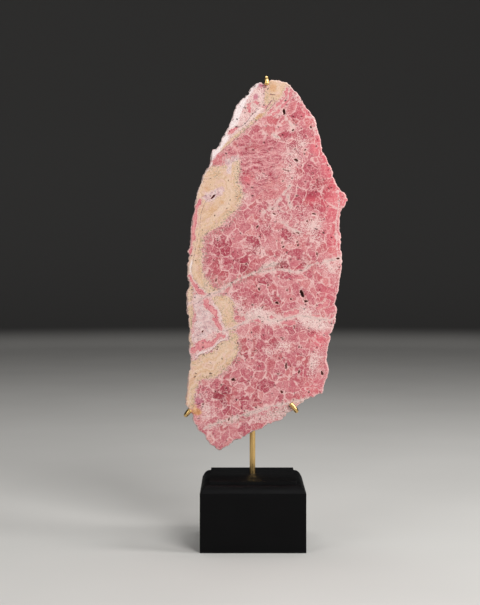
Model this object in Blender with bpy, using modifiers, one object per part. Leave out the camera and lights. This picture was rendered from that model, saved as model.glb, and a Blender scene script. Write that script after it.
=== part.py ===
"""Rhodochrosite slice held upright in a brass armature on a moulded black wooden plinth.

Frame: the origin is the centre of the plinth's underside, +Z is up, the slice's polished face
looks along -Y and +X is to the viewer's right. Blender's metres are used throughout; sizes
are written in millimetres and multiplied by MM.
"""

import math

import bmesh
import bpy
from mathutils import Vector, noise

MM = 0.001
TOUCH_GAP = 0.3 * MM  # the gap kept between pieces that touch

# Plinth: a square block with a moulded top edge (fillet, quarter round, narrow ledge).
PLINTH_HALF = 57.2 * MM
PLINTH_TOP = 75.0 * MM
PLATEAU_HALF = 47.1 * MM
FILLET_DROP = 3.2 * MM
QUIRK = 0.8 * MM
OVOLO_RADIUS = 7.9 * MM
OVOLO_STEPS = 7
SQUARE_STEPS = 4  # a turned profile with four steps is square in plan

# Post: a quarter inch brass rod standing in a blind hole just behind the plinth's centre.
POST_RADIUS = 3.175 * MM
POST_Y = 10.4 * MM
POST_DEPTH = 38.0 * MM
POST_TOP = 268.0 * MM
POST_SIDES = 32
POST_EDGE = 0.6 * MM

# Slice: a sawn slab with a natural, lumpy rim.
SLICE_THICKNESS = 15.0 * MM
SLICE_BACK = POST_Y - POST_RADIUS - TOUCH_GAP
SLICE_FRONT = SLICE_BACK - SLICE_THICKNESS
RIM_POINTS = 360
RIM_RINGS = ((0.0, -1.1), (0.07, -0.35), (0.28, 0.0), (0.52, 0.1), (0.76, -0.1), (0.93, -0.6), (1.0, -1.3))
LUMP_HEIGHT = 0.8 * MM
LUMP_SIZE = 7.0 * MM

# Arms: three-sixteenths brass rod, brazed to the post, each hooked round the slice's rim.
ARM_RADIUS = 2.38 * MM
ARM_GAP = 0.4 * MM
ARM_FRONT_Y = SLICE_FRONT - ARM_GAP - ARM_RADIUS
ARM_BACK_Y = SLICE_BACK + ARM_GAP + ARM_RADIUS
BEND_RADIUS = 3.8 * MM
TIP_CHAMFER = 0.5 * MM
YOKE_Z = 222.0 * MM  # where the two lower arms meet the post
LAP_FOOT, LAP_HEAD = 232.0 * MM, 262.0 * MM  # the stretch where the top arm lies along the post

# The slice's silhouette, (x, z) in millimetres, clockwise from the crown as the viewer sees it.
SILHOUETTE_MM = (
    (21.5, 514.8), (30.5, 513.5), (39.5, 510), (46, 503.5), (50.5, 499), (54, 493), (59, 485), (62.5, 481),
    (66, 475.5), (69.2, 470.5), (72, 460.5), (75, 450.5), (77, 439.5), (78, 434), (83, 425.7), (83.7, 423),
    (88.6, 414.6), (89.8, 411.8), (89.2, 407.4), (91, 403), (97, 393), (101, 389.6), (105.3, 382), (104.5, 378),
    (98.6, 369), (97.3, 365), (97, 352), (98.4, 338.6), (97.9, 327.5), (99.5, 312), (98, 298.5), (95, 280),
    (92.3, 268.7), (93.6, 256.5), (91, 243), (88, 233.2), (85.6, 231), (87, 227.6), (84.2, 218.7), (83, 207.5),
    (82.5, 202), (84.8, 192), (82.5, 183), (82, 180), (78.7, 173), (77.6, 166), (75.3, 164.8), (68, 162),
    (59.2, 158.8), (52.6, 153.8), (45.9, 148.3), (38.7, 143.8), (34.8, 138.8), (28.2, 135), (19.3, 132.2),
    (9.3, 126.6), (-0.7, 122.7), (-4, 121.6), (-10.7, 116.6), (-19.5, 113.3), (-26.2, 108.3), (-33, 104.4),
    (-35.6, 102.8), (-39, 103.3), (-43.4, 107.8), (-46.7, 108.3), (-51.7, 114.4), (-54.5, 120), (-60.6, 125),
    (-63.4, 130.5), (-66.2, 137), (-66.4, 141), (-69.5, 146.6), (-73.4, 152), (-74.8, 156), (-74.5, 163),
    (-72.8, 173), (-71.4, 185.4), (-69, 203), (-70.6, 214.3), (-70.4, 223), (-71.4, 228.7), (-70.6, 235.4),
    (-71.1, 247.6), (-73.4, 260), (-73.9, 266.4), (-73, 272), (-73.6, 278), (-70.4, 284.5), (-72.6, 296.4),
    (-71.7, 303), (-72.8, 307.5), (-70.7, 317.5), (-71.9, 324.7), (-69.6, 333), (-68.9, 345), (-67, 362),
    (-65, 368.5), (-63.4, 382), (-60.3, 393), (-57.3, 398.5), (-55.3, 408), (-50.6, 416.3), (-47.3, 422),
    (-47, 427.4), (-44.7, 436.2), (-40.6, 438.4), (-35, 447), (-27.9, 460.6), (-22.3, 474), (-18.4, 485),
    (-10.7, 494.5), (-5.7, 499), (-0.7, 506), (5.4, 511), (9.3, 512), (12.6, 511.3), (18.7, 514.3),
)

# The larger open vugs in the polished face: (x, z) of the middle, length, width, depth in
# millimetres and the lean of the long side from the vertical in degrees, towards +X.
VUGS_MM = (
    (34.8, 479.5, 6.8, 2.6, 3.0, 8), (48.2, 425.0, 5.2, 3.0, 2.8, 100), (58.4, 435.6, 3.6, 2.4, 2.2, 60),
    (-44.2, 384.3, 5.4, 2.0, 2.0, 52), (54.6, 276.2, 7.6, 2.8, 3.5, -18), (59.0, 268.2, 4.6, 1.9, 2.2, -40),
    (27.0, 266.5, 4.6, 2.2, 2.6, 76), (7.5, 281.8, 3.6, 1.8, 2.0, 45), (36.9, 196.6, 6.2, 1.8, 2.4, 0),
    (51.4, 189.4, 4.4, 1.8, 2.2, 10), (32.4, 166.8, 3.4, 2.0, 2.0, 62), (71.3, 321.2, 4.4, 1.8, 2.4, -12),
)
VUG_RINGS, VUG_SIDES = 6, 8


def clear_scene():
    """Removes the objects of the startup scene."""
    for obj in list(bpy.data.objects):
        bpy.data.objects.remove(obj, do_unlink=True)


def collection_named(name):
    """A new collection linked to the scene."""
    made = bpy.data.collections.new(name)
    bpy.context.scene.collection.children.link(made)
    return made


def material_named(name, colour, roughness, metallic=0.0):
    """A plain Principled material."""
    made = bpy.data.materials.new(name)
    made.use_nodes = True
    shader = made.node_tree.nodes["Principled BSDF"]
    shader.inputs["Base Color"].default_value = (*colour, 1.0)
    shader.inputs["Roughness"].default_value = roughness
    shader.inputs["Metallic"].default_value = metallic
    return made


def object_from_bmesh(name, bm, collection, material=None):
    """An object whose mesh is the bmesh, with its normals facing out."""
    bmesh.ops.recalc_face_normals(bm, faces=bm.faces)
    mesh = bpy.data.meshes.new(name)
    bm.to_mesh(mesh)
    bm.free()
    made = bpy.data.objects.new(name, mesh)
    collection.objects.link(made)
    if material:
        mesh.materials.append(material)
    return made


def as_cutter(obj):
    """Hides a helper that a Boolean modifier uses."""
    obj.hide_render = True
    obj.display_type = "WIRE"
    return obj


def add_boolean(obj, other, operation):
    """A Boolean modifier on obj with a helper object."""
    modifier = obj.modifiers.new(operation.title(), "BOOLEAN")
    modifier.operation = operation
    modifier.object = other


def upright_cylinder(name, radius, x, y, foot, head, collection):
    """A closed cylinder standing at x, y from height foot to height head."""
    bm = bmesh.new()
    bmesh.ops.create_cone(
        bm, cap_ends=True, segments=POST_SIDES, radius1=radius, radius2=radius, depth=head - foot
    )
    bmesh.ops.translate(bm, verts=bm.verts, vec=(x, y, (foot + head) / 2))
    return object_from_bmesh(name, bm, collection)


def post_clearance(name, foot, head, helpers):
    """The post's cylinder with the touching gap round it, for cutting what meets the post."""
    return as_cutter(upright_cylinder(name, POST_RADIUS + TOUCH_GAP, 0, POST_Y, foot, head, helpers))


def plinth_profile():
    """Half section of the plinth, from the top of its axis down to the bottom of its axis."""
    ovolo_top = PLINTH_TOP - FILLET_DROP
    ovolo_foot = ovolo_top - OVOLO_RADIUS
    ovolo_centre = PLATEAU_HALF + QUIRK
    points = [(0, PLINTH_TOP), (PLATEAU_HALF, PLINTH_TOP), (PLATEAU_HALF, ovolo_top)]
    for step in range(OVOLO_STEPS + 1):
        turn = math.radians(90 * step / OVOLO_STEPS)
        points.append((ovolo_centre + OVOLO_RADIUS * math.sin(turn), ovolo_foot + OVOLO_RADIUS * math.cos(turn)))
    points += [(PLINTH_HALF, ovolo_foot), (PLINTH_HALF, 0), (0, 0)]
    return points


def build_plinth(parts, helpers, material):
    """The block: the half section turned in four steps, with the post's blind hole."""
    mesh = bpy.data.meshes.new("plinth")
    corners = [(half * math.sqrt(2), 0, z) for half, z in plinth_profile()]
    mesh.from_pydata(corners, [(i, i + 1) for i in range(len(corners) - 1)], [])
    mesh.materials.append(material)
    plinth = bpy.data.objects.new("plinth", mesh)
    plinth.rotation_euler.z = math.radians(45)
    parts.objects.link(plinth)
    screw = plinth.modifiers.new("Screw", "SCREW")
    screw.steps = screw.render_steps = SQUARE_STEPS
    screw.use_merge_vertices = True
    screw.merge_threshold = 0.0001
    screw.use_smooth_shade = False
    hole = post_clearance("post_hole", PLINTH_TOP - POST_DEPTH, PLINTH_TOP + POST_DEPTH, helpers)
    add_boolean(plinth, hole, "DIFFERENCE")
    return plinth


def build_post(parts, material):
    """The upright rod, from the bottom of its hole to behind the slice."""
    foot = PLINTH_TOP - POST_DEPTH + TOUCH_GAP
    post = upright_cylinder("post", POST_RADIUS, 0, POST_Y, foot, POST_TOP, parts)
    post.data.materials.append(material)
    edges = post.modifiers.new("Eased ends", "BEVEL")
    edges.width = POST_EDGE
    edges.segments = 2
    edges.angle_limit = math.radians(60)
    return post


def closed_spline(points, count):
    """count points evenly spaced along a closed Catmull-Rom curve through the points."""
    fine = []
    total = len(points)
    for i in range(total):
        before, start, end, after = (points[(i + k) % total] for k in (-1, 0, 1, 2))
        for step in range(8):
            t = step / 8
            fine.append(
                0.5
                * (
                    2 * start
                    + (end - before) * t
                    + (2 * before - 5 * start + 4 * end - after) * t**2
                    + (3 * start - before - 3 * end + after) * t**3
                )
            )
    fine.append(fine[0])
    lengths = [0.0]
    for here, there in zip(fine, fine[1:]):
        lengths.append(lengths[-1] + (there - here).length)
    spaced, k = [], 0
    for i in range(count):
        target = lengths[-1] * i / count
        while lengths[k + 1] < target:
            k += 1
        share = (target - lengths[k]) / (lengths[k + 1] - lengths[k])
        spaced.append(fine[k].lerp(fine[k + 1], share))
    return spaced


def rim_rings():
    """The slice's rim as rings of points from the polished face to the back, each a copy of
    the silhouette moved in or out by the rim's section and by lumps."""
    outline = closed_spline([Vector((x, z)) * MM for x, z in SILHOUETTE_MM], RIM_POINTS)
    rings = []
    for share, bulge in RIM_RINGS:
        y = SLICE_FRONT + share * SLICE_THICKNESS
        ring = []
        for i, point in enumerate(outline):
            along = outline[(i + 1) % RIM_POINTS] - outline[i - 1]
            outward = Vector((-along.y, along.x)).normalized()
            place = Vector((point.x, share * SLICE_THICKNESS, point.y)) / LUMP_SIZE
            lump = LUMP_HEIGHT * noise.fractal(place, 1.0, 2.0, 2) * math.sin(math.pi * (0.15 + 0.7 * share))
            shifted = point + outward * (bulge * MM + min(lump, 0.3 * MM))
            ring.append((shifted.x, y, shifted.y))
        rings.append(ring)
    return rings


def vug_cutter(index, vug, helpers):
    """A squashed sphere lying in the polished face, as deep as the vug."""
    x, z, length, width, depth, lean = vug
    bm = bmesh.new()
    bmesh.ops.create_uvsphere(bm, u_segments=VUG_SIDES, v_segments=VUG_RINGS, radius=MM)
    for vert in bm.verts:
        ragged = 1 + 0.25 * noise.noise(vert.co / MM + Vector((index, 0, 0)))
        vert.co = Vector((vert.co.x * width / 2, vert.co.y * depth, vert.co.z * length / 2)) * ragged
    cutter = object_from_bmesh(f"vug_{index}", bm, helpers)
    cutter.rotation_euler.y = math.radians(lean)
    cutter.location = (x * MM, SLICE_FRONT, z * MM)
    return as_cutter(cutter)


def build_slice(parts, helpers, material):
    """The slab: rings of rim joined face to face, two flat sawn faces and the open vugs."""
    bm = bmesh.new()
    rings = [[bm.verts.new(point) for point in ring] for ring in rim_rings()]
    for near, far in zip(rings, rings[1:]):
        for i in range(RIM_POINTS):
            j = (i + 1) % RIM_POINTS
            bm.faces.new((near[i], near[j], far[j], far[i]))
    bm.faces.new(rings[0])
    bm.faces.new(rings[-1])
    slab = object_from_bmesh("rhodochrosite_slice", bm, parts, material)
    for index, vug in enumerate(VUGS_MM):
        add_boolean(slab, vug_cutter(index, vug, helpers), "DIFFERENCE")
    return slab


def rounded_path(corners, radius, steps=5):
    """The corners joined by straight runs, with each inner corner rounded to an arc."""
    path = [corners[0]]
    for before, corner, after in zip(corners, corners[1:], corners[2:]):
        back, ahead = (before - corner).normalized(), (after - corner).normalized()
        half = back.angle(ahead) / 2
        centre = corner + (back + ahead).normalized() * radius / math.sin(half)
        first = corner + back * radius / math.tan(half) - centre
        last = corner + ahead * radius / math.tan(half) - centre
        path += [centre + first.slerp(last, step / steps) * radius for step in range(steps + 1)]
    return path + [corners[-1]]


def rod_along(name, path, collection):
    """A closed round rod of the arms' gauge along the path, its first end eased."""
    curve = bpy.data.curves.new(name, "CURVE")
    curve.dimensions = "3D"
    curve.bevel_depth = ARM_RADIUS
    curve.bevel_resolution = 4
    curve.use_fill_caps = True
    eased = path[0] + (path[1] - path[0]).normalized() * TIP_CHAMFER
    path = [path[0], eased] + path[1:]
    spline = curve.splines.new("POLY")
    spline.points.add(len(path) - 1)
    for point, place in zip(spline.points, path):
        point.co = (*place, 1)
    spline.points[0].radius = 1 - TIP_CHAMFER / ARM_RADIUS
    rod = bpy.data.objects.new(name, curve)
    collection.objects.link(rod)
    bpy.context.view_layer.update()
    mesh = bpy.data.meshes.new_from_object(rod.evaluated_get(bpy.context.evaluated_depsgraph_get()))
    bpy.data.objects.remove(rod)
    bm = bmesh.new()
    bm.from_mesh(mesh)
    bmesh.ops.remove_doubles(bm, verts=bm.verts, dist=0.01 * MM)
    return object_from_bmesh(name, bm, collection)


def braze_bead(name, centre, half_sizes, helpers):
    """A flattened ball of brazing metal, joined to an arm before the post is cut from it."""
    bm = bmesh.new()
    bmesh.ops.create_uvsphere(bm, u_segments=16, v_segments=10, radius=1)
    bmesh.ops.scale(bm, vec=half_sizes, verts=bm.verts)
    bmesh.ops.translate(bm, vec=centre, verts=bm.verts)
    return as_cutter(object_from_bmesh(name, bm, helpers))


def hook_corners(rim, outward, grip, reach_front, reach_back):
    """Corners of a hook: its tip on the polished face, then the two bends outside the rim.

    rim is where the hook crosses the slice's edge, outward the way it leads away from the
    slice, grip how far the tip lies inside the edge, and the reaches how far the rod's middle
    stands outside the edge in front and behind."""
    rim, outward = Vector(rim) * MM, Vector(outward).normalized()

    def at(distance, y):
        place = rim + outward * distance * MM
        return Vector((place.x, y, place.y))

    return [at(-grip, ARM_FRONT_Y), at(reach_front, ARM_FRONT_Y), at(reach_back, ARM_BACK_Y)]


def build_arm(name, corners, beads, parts, helpers, material):
    """A hooked arm with its brazing, cut clear of the post."""
    arm = rod_along(name, rounded_path(corners, BEND_RADIUS), parts)
    arm.data.materials.append(material)
    for index, (centre, half_sizes) in enumerate(beads):
        add_boolean(arm, braze_bead(f"{name}_bead_{index}", centre, half_sizes, helpers), "UNION")
    add_boolean(arm, post_clearance(f"{name}_cut", YOKE_Z - POST_DEPTH, POST_TOP + POST_DEPTH, helpers), "DIFFERENCE")
    return arm


def build_arms(parts, helpers, material):
    """The yoke's two lower arms and the long top arm."""
    bead_y = ARM_BACK_Y + 0.6 * MM
    bead_sizes = (3.8 * MM, 2.7 * MM, 3.8 * MM)
    bead_out = 4.3 * MM
    meeting = Vector((0, ARM_BACK_Y, YOKE_Z))
    left = hook_corners((-70.4, 146.1), (-0.66, -0.75), 2.8, 6.1, 3.2) + [meeting]
    right = hook_corners((46.8, 149.0), (0.585, -0.811), 8.0, 3.1, 3.1) + [meeting]
    bead_rise = 4.0 * MM
    for name, corners, side in (("left_arm", left, -1), ("right_arm", right, 1)):
        bead = ((side * bead_out, bead_y, YOKE_Z - bead_rise), bead_sizes)
        build_arm(name, corners, [bead], parts, helpers, material)

    lap_x = POST_RADIUS + ARM_RADIUS + TOUCH_GAP
    top = hook_corners((15.4, 512.4), (0.04, 1.0), 4.4, 3.8, 3.5)
    top += [Vector((lap_x, ARM_BACK_Y, LAP_HEAD)), Vector((lap_x, ARM_BACK_Y, LAP_FOOT))]
    seam = ((lap_x - ARM_RADIUS, ARM_BACK_Y + 2.2 * MM, (LAP_HEAD + LAP_FOOT) / 2), (1.8 * MM, 1.4 * MM, 13.0 * MM))
    build_arm("top_arm", top, [seam], parts, helpers, material)


def main():
    """Builds the slice, its armature and its plinth."""
    clear_scene()
    parts = collection_named("rhodochrosite_slice_on_stand")
    helpers = collection_named("cutters")
    stone = material_named("rhodochrosite", (0.68, 0.28, 0.31), 0.25)
    brass = material_named("brass", (0.72, 0.50, 0.20), 0.25, 1.0)
    black_wood = material_named("black_wood", (0.012, 0.012, 0.012), 0.4)
    build_slice(parts, helpers, stone)
    build_plinth(parts, helpers, black_wood)
    build_post(parts, brass)
    build_arms(parts, helpers, brass)


main()
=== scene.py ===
"""A polished rhodochrosite slice on a hooked brass armature and a moulded black wooden plinth.

Sizes are millimetres and go into the meshes as metres. The origin is the centre of the
plinth's underside, +Z is up, the slice's polished face looks along -Y and +X is to the
viewer's right. Each sub-assembly is a class whose fields are its sizes, and each finish is a
frozen dataclass that makes one material.
"""

from __future__ import annotations

import logging
import math
from dataclasses import dataclass, field
from enum import Enum

import bpy
import numpy as np
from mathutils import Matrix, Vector


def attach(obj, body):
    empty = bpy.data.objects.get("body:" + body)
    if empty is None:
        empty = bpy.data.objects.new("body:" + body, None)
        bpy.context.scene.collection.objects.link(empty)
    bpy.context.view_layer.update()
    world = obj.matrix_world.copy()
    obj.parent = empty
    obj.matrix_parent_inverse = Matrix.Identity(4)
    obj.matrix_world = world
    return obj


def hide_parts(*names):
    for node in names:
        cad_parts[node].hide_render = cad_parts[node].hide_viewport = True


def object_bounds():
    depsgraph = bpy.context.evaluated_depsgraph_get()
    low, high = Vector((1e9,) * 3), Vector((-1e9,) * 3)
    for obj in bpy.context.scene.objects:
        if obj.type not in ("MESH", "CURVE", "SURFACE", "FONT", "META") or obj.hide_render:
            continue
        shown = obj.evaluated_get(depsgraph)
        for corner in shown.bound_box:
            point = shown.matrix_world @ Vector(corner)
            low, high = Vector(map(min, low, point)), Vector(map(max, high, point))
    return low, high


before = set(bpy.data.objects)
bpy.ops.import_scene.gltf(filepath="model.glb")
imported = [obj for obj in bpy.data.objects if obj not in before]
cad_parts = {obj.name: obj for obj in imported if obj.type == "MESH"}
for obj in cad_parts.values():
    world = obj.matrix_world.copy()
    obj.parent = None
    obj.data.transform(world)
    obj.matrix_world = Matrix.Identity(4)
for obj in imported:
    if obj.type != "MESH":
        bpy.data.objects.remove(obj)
CAD_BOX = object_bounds()
LOG = logging.getLogger("slice_on_stand")
MM = 0.001
Array = np.ndarray
Colour = tuple[float, float, float]


class Slot(Enum):
    """Names of the finishes, which the pieces give in their log lines."""

    STONE = "stone"
    WOOD = "wood"
    BRASS = "brass"


# --- numbers ------------------------------------------------------------------------------


def lattice_noise(points: Array, seed: int = 0) -> Array:
    """Smooth noise between -1 and 1, one value for each point.

    Every corner of the whole-number lattice has a value hashed from its three coordinates,
    and the eight corners round a point are blended with weights 6t^5 - 15t^4 + 10t^3.

    Args:
        points: Places, in an array whose last axis is x, y, z.
        seed: A whole number that picks the pattern.

    Returns:
        The noise, in the shape of points without its last axis.
    """
    base = np.floor(points).astype(np.int64)
    part = points - base
    ease = part**3 * (part * (part * 6 - 15) + 10)
    total = np.zeros(points.shape[:-1])
    for corner in np.ndindex(2, 2, 2):
        spot = base + np.array(corner)
        mixed = spot[..., 0] * 73856093 ^ spot[..., 1] * 19349663 ^ spot[..., 2] * 83492791
        mixed = (mixed ^ seed * 26544357) & 0x7FFFFFFF
        mixed = ((mixed ^ mixed >> 13) * 1274126177) & 0x7FFFFFFF
        value = ((mixed ^ mixed >> 16) & 0xFFFF) / 32767.5 - 1
        total += np.prod(np.where(corner, ease, 1 - ease), axis=-1) * value
    return total


def layered_noise(points: Array, octaves: int = 3, seed: int = 0) -> Array:
    """Sum of lattice noises, each twice as fine and half as strong as the one before.

    Args:
        points: Places, in an array whose last axis is x, y, z.
        octaves: How many layers there are.
        seed: A whole number that picks the pattern.

    Returns:
        The noise, between about -1 and 1.
    """
    total = sum(lattice_noise(points * 2**k, seed + k) / 2**k for k in range(octaves))
    return total / (2 - 0.5 ** (octaves - 1))


def ease_between(value: Array, low: float, high: float) -> Array:
    """Smooth step 3t^2 - 2t^3 with t running from 0 at low to 1 at high."""
    t = np.clip((value - low) / (high - low), 0, 1)
    return t * t * (3 - 2 * t)


def spline(points: Array, closed: bool, steps: int = 12) -> Array:
    """Catmull-Rom curve: on each stretch from b to c, with neighbours a and d, the point is half
    of 2b + (c - a)t + (2a - 5b + 4c - d)t^2 + (3b - a - 3c + d)t^3.

    Args:
        points: The points it goes through, one a row.
        closed: True for a ring.
        steps: Samples on each stretch.

    Returns:
        The samples, with the last point repeated from the first on a ring.
    """
    if closed:
        padded = np.vstack([points[-1:], points, points[:2]])
    else:
        padded = np.vstack([2 * points[:1] - points[1:2], points, 2 * points[-1:] - points[-2:-1]])
    a, b, c, d = (padded[k : len(padded) - 3 + k, None, :] for k in range(4))
    t = np.linspace(0, 1, steps, endpoint=False)[None, :, None]
    curve = 0.5 * (2 * b + (c - a) * t + (2 * a - 5 * b + 4 * c - d) * t**2 + (3 * b - a - 3 * c + d) * t**3)
    return np.vstack([curve.reshape(-1, points.shape[1]), padded[-2:-1]])


def evenly_spaced(curve: Array, count: int, closed: bool) -> Array:
    """count points at equal lengths along a curve given by many samples."""
    travelled = np.concatenate([[0], np.cumsum(np.linalg.norm(np.diff(curve, axis=0), axis=1))])
    wanted = np.linspace(0, travelled[-1], count, endpoint=not closed)
    return np.stack([np.interp(wanted, travelled, column) for column in curve.T], axis=1)


def distance_to_path(places: Array, path: Array) -> tuple[Array, Array]:
    """Distance from places to a chain of straight runs.

    The nearest point of each run is its start plus the run times the clipped share
    (place - start) . run / run . run, and the shortest of the distances counts.

    Args:
        places: The (n, 2) places.
        path: The (m, 2) corners of the chain.

    Returns:
        The distances, and how far along the chain the nearest point lies, from 0 to 1.
    """
    start, run = path[:-1], np.diff(path, axis=0)
    lengths = np.linalg.norm(run, axis=1)
    before = np.concatenate([[0], np.cumsum(lengths)])
    gaps, along = [], []
    for block in np.array_split(places, max(1, len(places) * len(run) // 2_000_000)):
        away = block[:, None, :] - start[None]
        share = np.clip(np.sum(away * run, axis=2) / np.maximum(lengths**2, 1e-9), 0, 1)
        reach = np.hypot(away[..., 0] - share * run[:, 0], away[..., 1] - share * run[:, 1])
        nearest = np.argmin(reach, axis=1)
        row = np.arange(len(block))
        gaps.append(reach[row, nearest])
        along.append((before[nearest] + share[row, nearest] * lengths[nearest]) / before[-1])
    return np.concatenate(gaps), np.concatenate(along)


def depth_inside(places: Array, ring: Array) -> Array:
    """Distance to a closed ring, positive inside it: a place is inside where a level line from
    it to the right crosses the ring an odd number of times."""
    gaps, _ = distance_to_path(places, np.vstack([ring, ring[:1]]))
    x0, z0 = ring.T
    x1, z1 = np.roll(ring, -1, axis=0).T
    x, z = places[:, :1], places[:, 1:]
    spans = (z0 > z) != (z1 > z)
    crossing = x0 + (z - z0) * (x1 - x0) / np.where(z1 == z0, 1e-9, z1 - z0)
    inside = np.sum(spans & (crossing > x), axis=1) % 2 == 1
    return np.where(inside, gaps, -gaps)


# --- meshes -------------------------------------------------------------------------------


def grid_faces(rows: int, columns: int, first: int = 0, round_columns: bool = False) -> Array:
    """Quads joining a grid of points numbered row by row.

    Args:
        rows: Points from one row to the last.
        columns: Points in a row.
        first: Number of the grid's first point.
        round_columns: True where each row is a ring.

    Returns:
        The (n, 4) corner numbers.
    """
    numbers = first + np.arange(rows * columns).reshape(rows, columns)
    if round_columns:
        numbers = np.hstack([numbers, numbers[:, :1]])
    corners = (numbers[:-1, :-1], numbers[:-1, 1:], numbers[1:, 1:], numbers[1:, :-1])
    return np.stack([c.ravel() for c in corners], axis=1)


def fan_faces(ring: Array, centre: int) -> Array:
    """Triangles from each stretch of a closed ring of point numbers to a centre point."""
    return np.stack([ring, np.roll(ring, -1), np.full(len(ring), centre)], axis=1)


@dataclass
class Shell:
    """Points and faces of one piece while they are being put together, in millimetres."""

    points: list[Array] = field(default_factory=list)
    faces: list[Array] = field(default_factory=list)
    finishes: list[Array] = field(default_factory=list)
    count: int = 0

    def add(self, points: Array) -> int:
        """Adds points and returns the number of the first."""
        first = self.count
        self.points.append(points.reshape(-1, 3))
        self.count += len(self.points[-1])
        return first

    def join(self, faces: Array, finish: int = 0, turned: bool = False) -> None:
        """Adds faces with one finish's number, turned over if asked."""
        self.faces.append(faces[:, ::-1] if turned else faces)
        self.finishes.append(np.full(len(faces), finish))

    def all_points(self) -> Array:
        """Every point as one array."""
        return np.vstack(self.points)

    def piece(self, name: str, materials: list[bpy.types.Material], crease: float) -> bpy.types.Object:
        """Puts the shell into a mesh object in the scene.

        Args:
            name: The piece's name.
            materials: Its finishes, in the order of their numbers.
            crease: Angle in degrees above which an edge stays sharp.

        Returns:
            The object, at the origin.
        """
        mesh = bpy.data.meshes.new(name)
        loops = np.concatenate([f.ravel() for f in self.faces])
        sizes = np.concatenate([np.full(len(f), f.shape[1]) for f in self.faces])
        mesh.vertices.add(self.count)
        mesh.vertices.foreach_set("co", (self.all_points() * MM).astype(np.float32).ravel())
        mesh.loops.add(len(loops))
        mesh.loops.foreach_set("vertex_index", loops.astype(np.int32))
        mesh.polygons.add(len(sizes))
        starts = np.concatenate([[0], np.cumsum(sizes)[:-1]])
        mesh.polygons.foreach_set("loop_start", starts.astype(np.int32))
        for material in materials:
            mesh.materials.append(material)
        mesh.polygons.foreach_set("material_index", np.concatenate(self.finishes).astype(np.int32))
        mesh.update(calc_edges=True)
        mesh.polygons.foreach_set("use_smooth", np.ones(len(sizes), dtype=bool))
        mesh.set_sharp_from_angle(angle=math.radians(crease))
        made = bpy.data.objects.new(name, mesh)
        bpy.context.scene.collection.objects.link(made)
        return made


def seat(piece: bpy.types.Object, slot: Slot, *nodes: str) -> bpy.types.Object:
    """Makes a piece ride with the stand and stand for its solids, and logs its faces and its slot's finish.
    """
    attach(piece, "root")
    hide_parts(*nodes)
    LOG.info("%s: %d faces, finish %s", piece.name, len(piece.data.polygons), slot.value)
    return piece


# --- armature -----------------------------------------------------------------------------


def rounded_path(corners: Array, radius: float, steps: int = 14) -> Array:
    """The corners joined by straight runs, each inner corner rounded to an arc of the radius.

    An arc's centre lies on the corner's bisector at radius / sin(half the corner's angle), and
    its points turn from one touching point to the other as sin((1 - t)a) and sin(ta) mixes.

    Args:
        corners: The (n, 3) corners.
        radius: Radius of the bends along the rod's middle.
        steps: Stretches in each bend.

    Returns:
        The path's points.
    """
    path = [corners[:1]]
    for before, corner, after in zip(corners, corners[1:], corners[2:]):
        back = (before - corner) / np.linalg.norm(before - corner)
        ahead = (after - corner) / np.linalg.norm(after - corner)
        half = math.acos(float(back @ ahead)) / 2
        middle = (back + ahead) / np.linalg.norm(back + ahead)
        centre = corner + middle * radius / math.sin(half)
        first = corner + back * radius / math.tan(half) - centre
        last = corner + ahead * radius / math.tan(half) - centre
        turn = math.pi - 2 * half
        t = np.linspace(0, 1, steps + 1)[:, None]
        path.append(centre + (np.sin((1 - t) * turn) * first + np.sin(t * turn) * last) / math.sin(turn))
    return np.vstack([*path, corners[-1:]])


def subdivided(path: Array, longest: float) -> Array:
    """The path with its long straight runs cut into stretches no longer than asked."""
    cuts = [
        np.linspace(a, b, max(2, math.ceil(np.linalg.norm(b - a) / longest) + 1))[:-1]
        for (a, b) in zip(path, path[1:])
    ]
    return np.vstack([*cuts, path[-1:]])


@dataclass(frozen=True)
class Rod:
    """A round brass rod swept along a path, with cut and eased ends."""

    radius: float
    chamfer: float
    sides: int = 40

    def sweep(self, shell: Shell, path: Array, across: Array) -> Array:
        """Adds the rod: rings of radius r at each point of the path, r cos a along the part of
        'across' that is square to the path and r sin a along their cross product, and at both
        ends smaller rings and a middle point.

        Args:
            shell: Where the rod goes.
            path: The (n, 3) middle line.
            across: A direction that the path never runs along.

        Returns:
            The rod's own place of each point: length travelled, then the two offsets.
        """
        path = subdivided(path, 4.0)
        ahead = (path[1] - path[0]) / np.linalg.norm(path[1] - path[0])
        behind = (path[-1] - path[-2]) / np.linalg.norm(path[-1] - path[-2])
        eases = self.chamfer * np.array([[0], [0.3], [1]])
        path = np.vstack([path[0] + eases * ahead, path[1:-1], path[-1] - eases[::-1] * behind])
        radii = np.full(len(path), self.radius)
        radii[[0, 1, -2, -1]] -= self.chamfer * np.array([1, 0.42, 0.42, 1])
        tangent = np.gradient(path, axis=0)
        tangent /= np.linalg.norm(tangent, axis=1, keepdims=True)
        side = across - np.sum(tangent * across, axis=1, keepdims=True) * tangent
        side /= np.linalg.norm(side, axis=1, keepdims=True)
        up = np.cross(tangent, side)
        angle = np.linspace(0, 2 * math.pi, self.sides, endpoint=False)
        travelled = np.concatenate([[0], np.cumsum(np.linalg.norm(np.diff(path, axis=0), axis=1))])
        file_marks = layered_noise(np.stack([travelled / 6, travelled * 0, travelled * 0], axis=1), 2, 5)
        reach = (radii + 0.03 * file_marks)[:, None]
        cosine, sine = reach * np.cos(angle), reach * np.sin(angle)
        rings = path[:, None, :] + cosine[..., None] * side[:, None] + sine[..., None] * up[:, None]
        first = shell.add(rings)
        ends = shell.add(path[[0, -1]])
        shell.join(grid_faces(len(path), self.sides, first, round_columns=True))
        ring = np.arange(self.sides)
        shell.join(fan_faces(first + ring, ends), turned=True)
        shell.join(fan_faces(first + (len(path) - 1) * self.sides + ring, ends + 1))
        own = np.stack([np.broadcast_to(travelled[:, None], cosine.shape), cosine, sine], axis=-1)
        tips = np.array([[0, 0, 0], [travelled[-1], 0, 0]])
        return np.vstack([own.reshape(-1, 3), tips])


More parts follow.
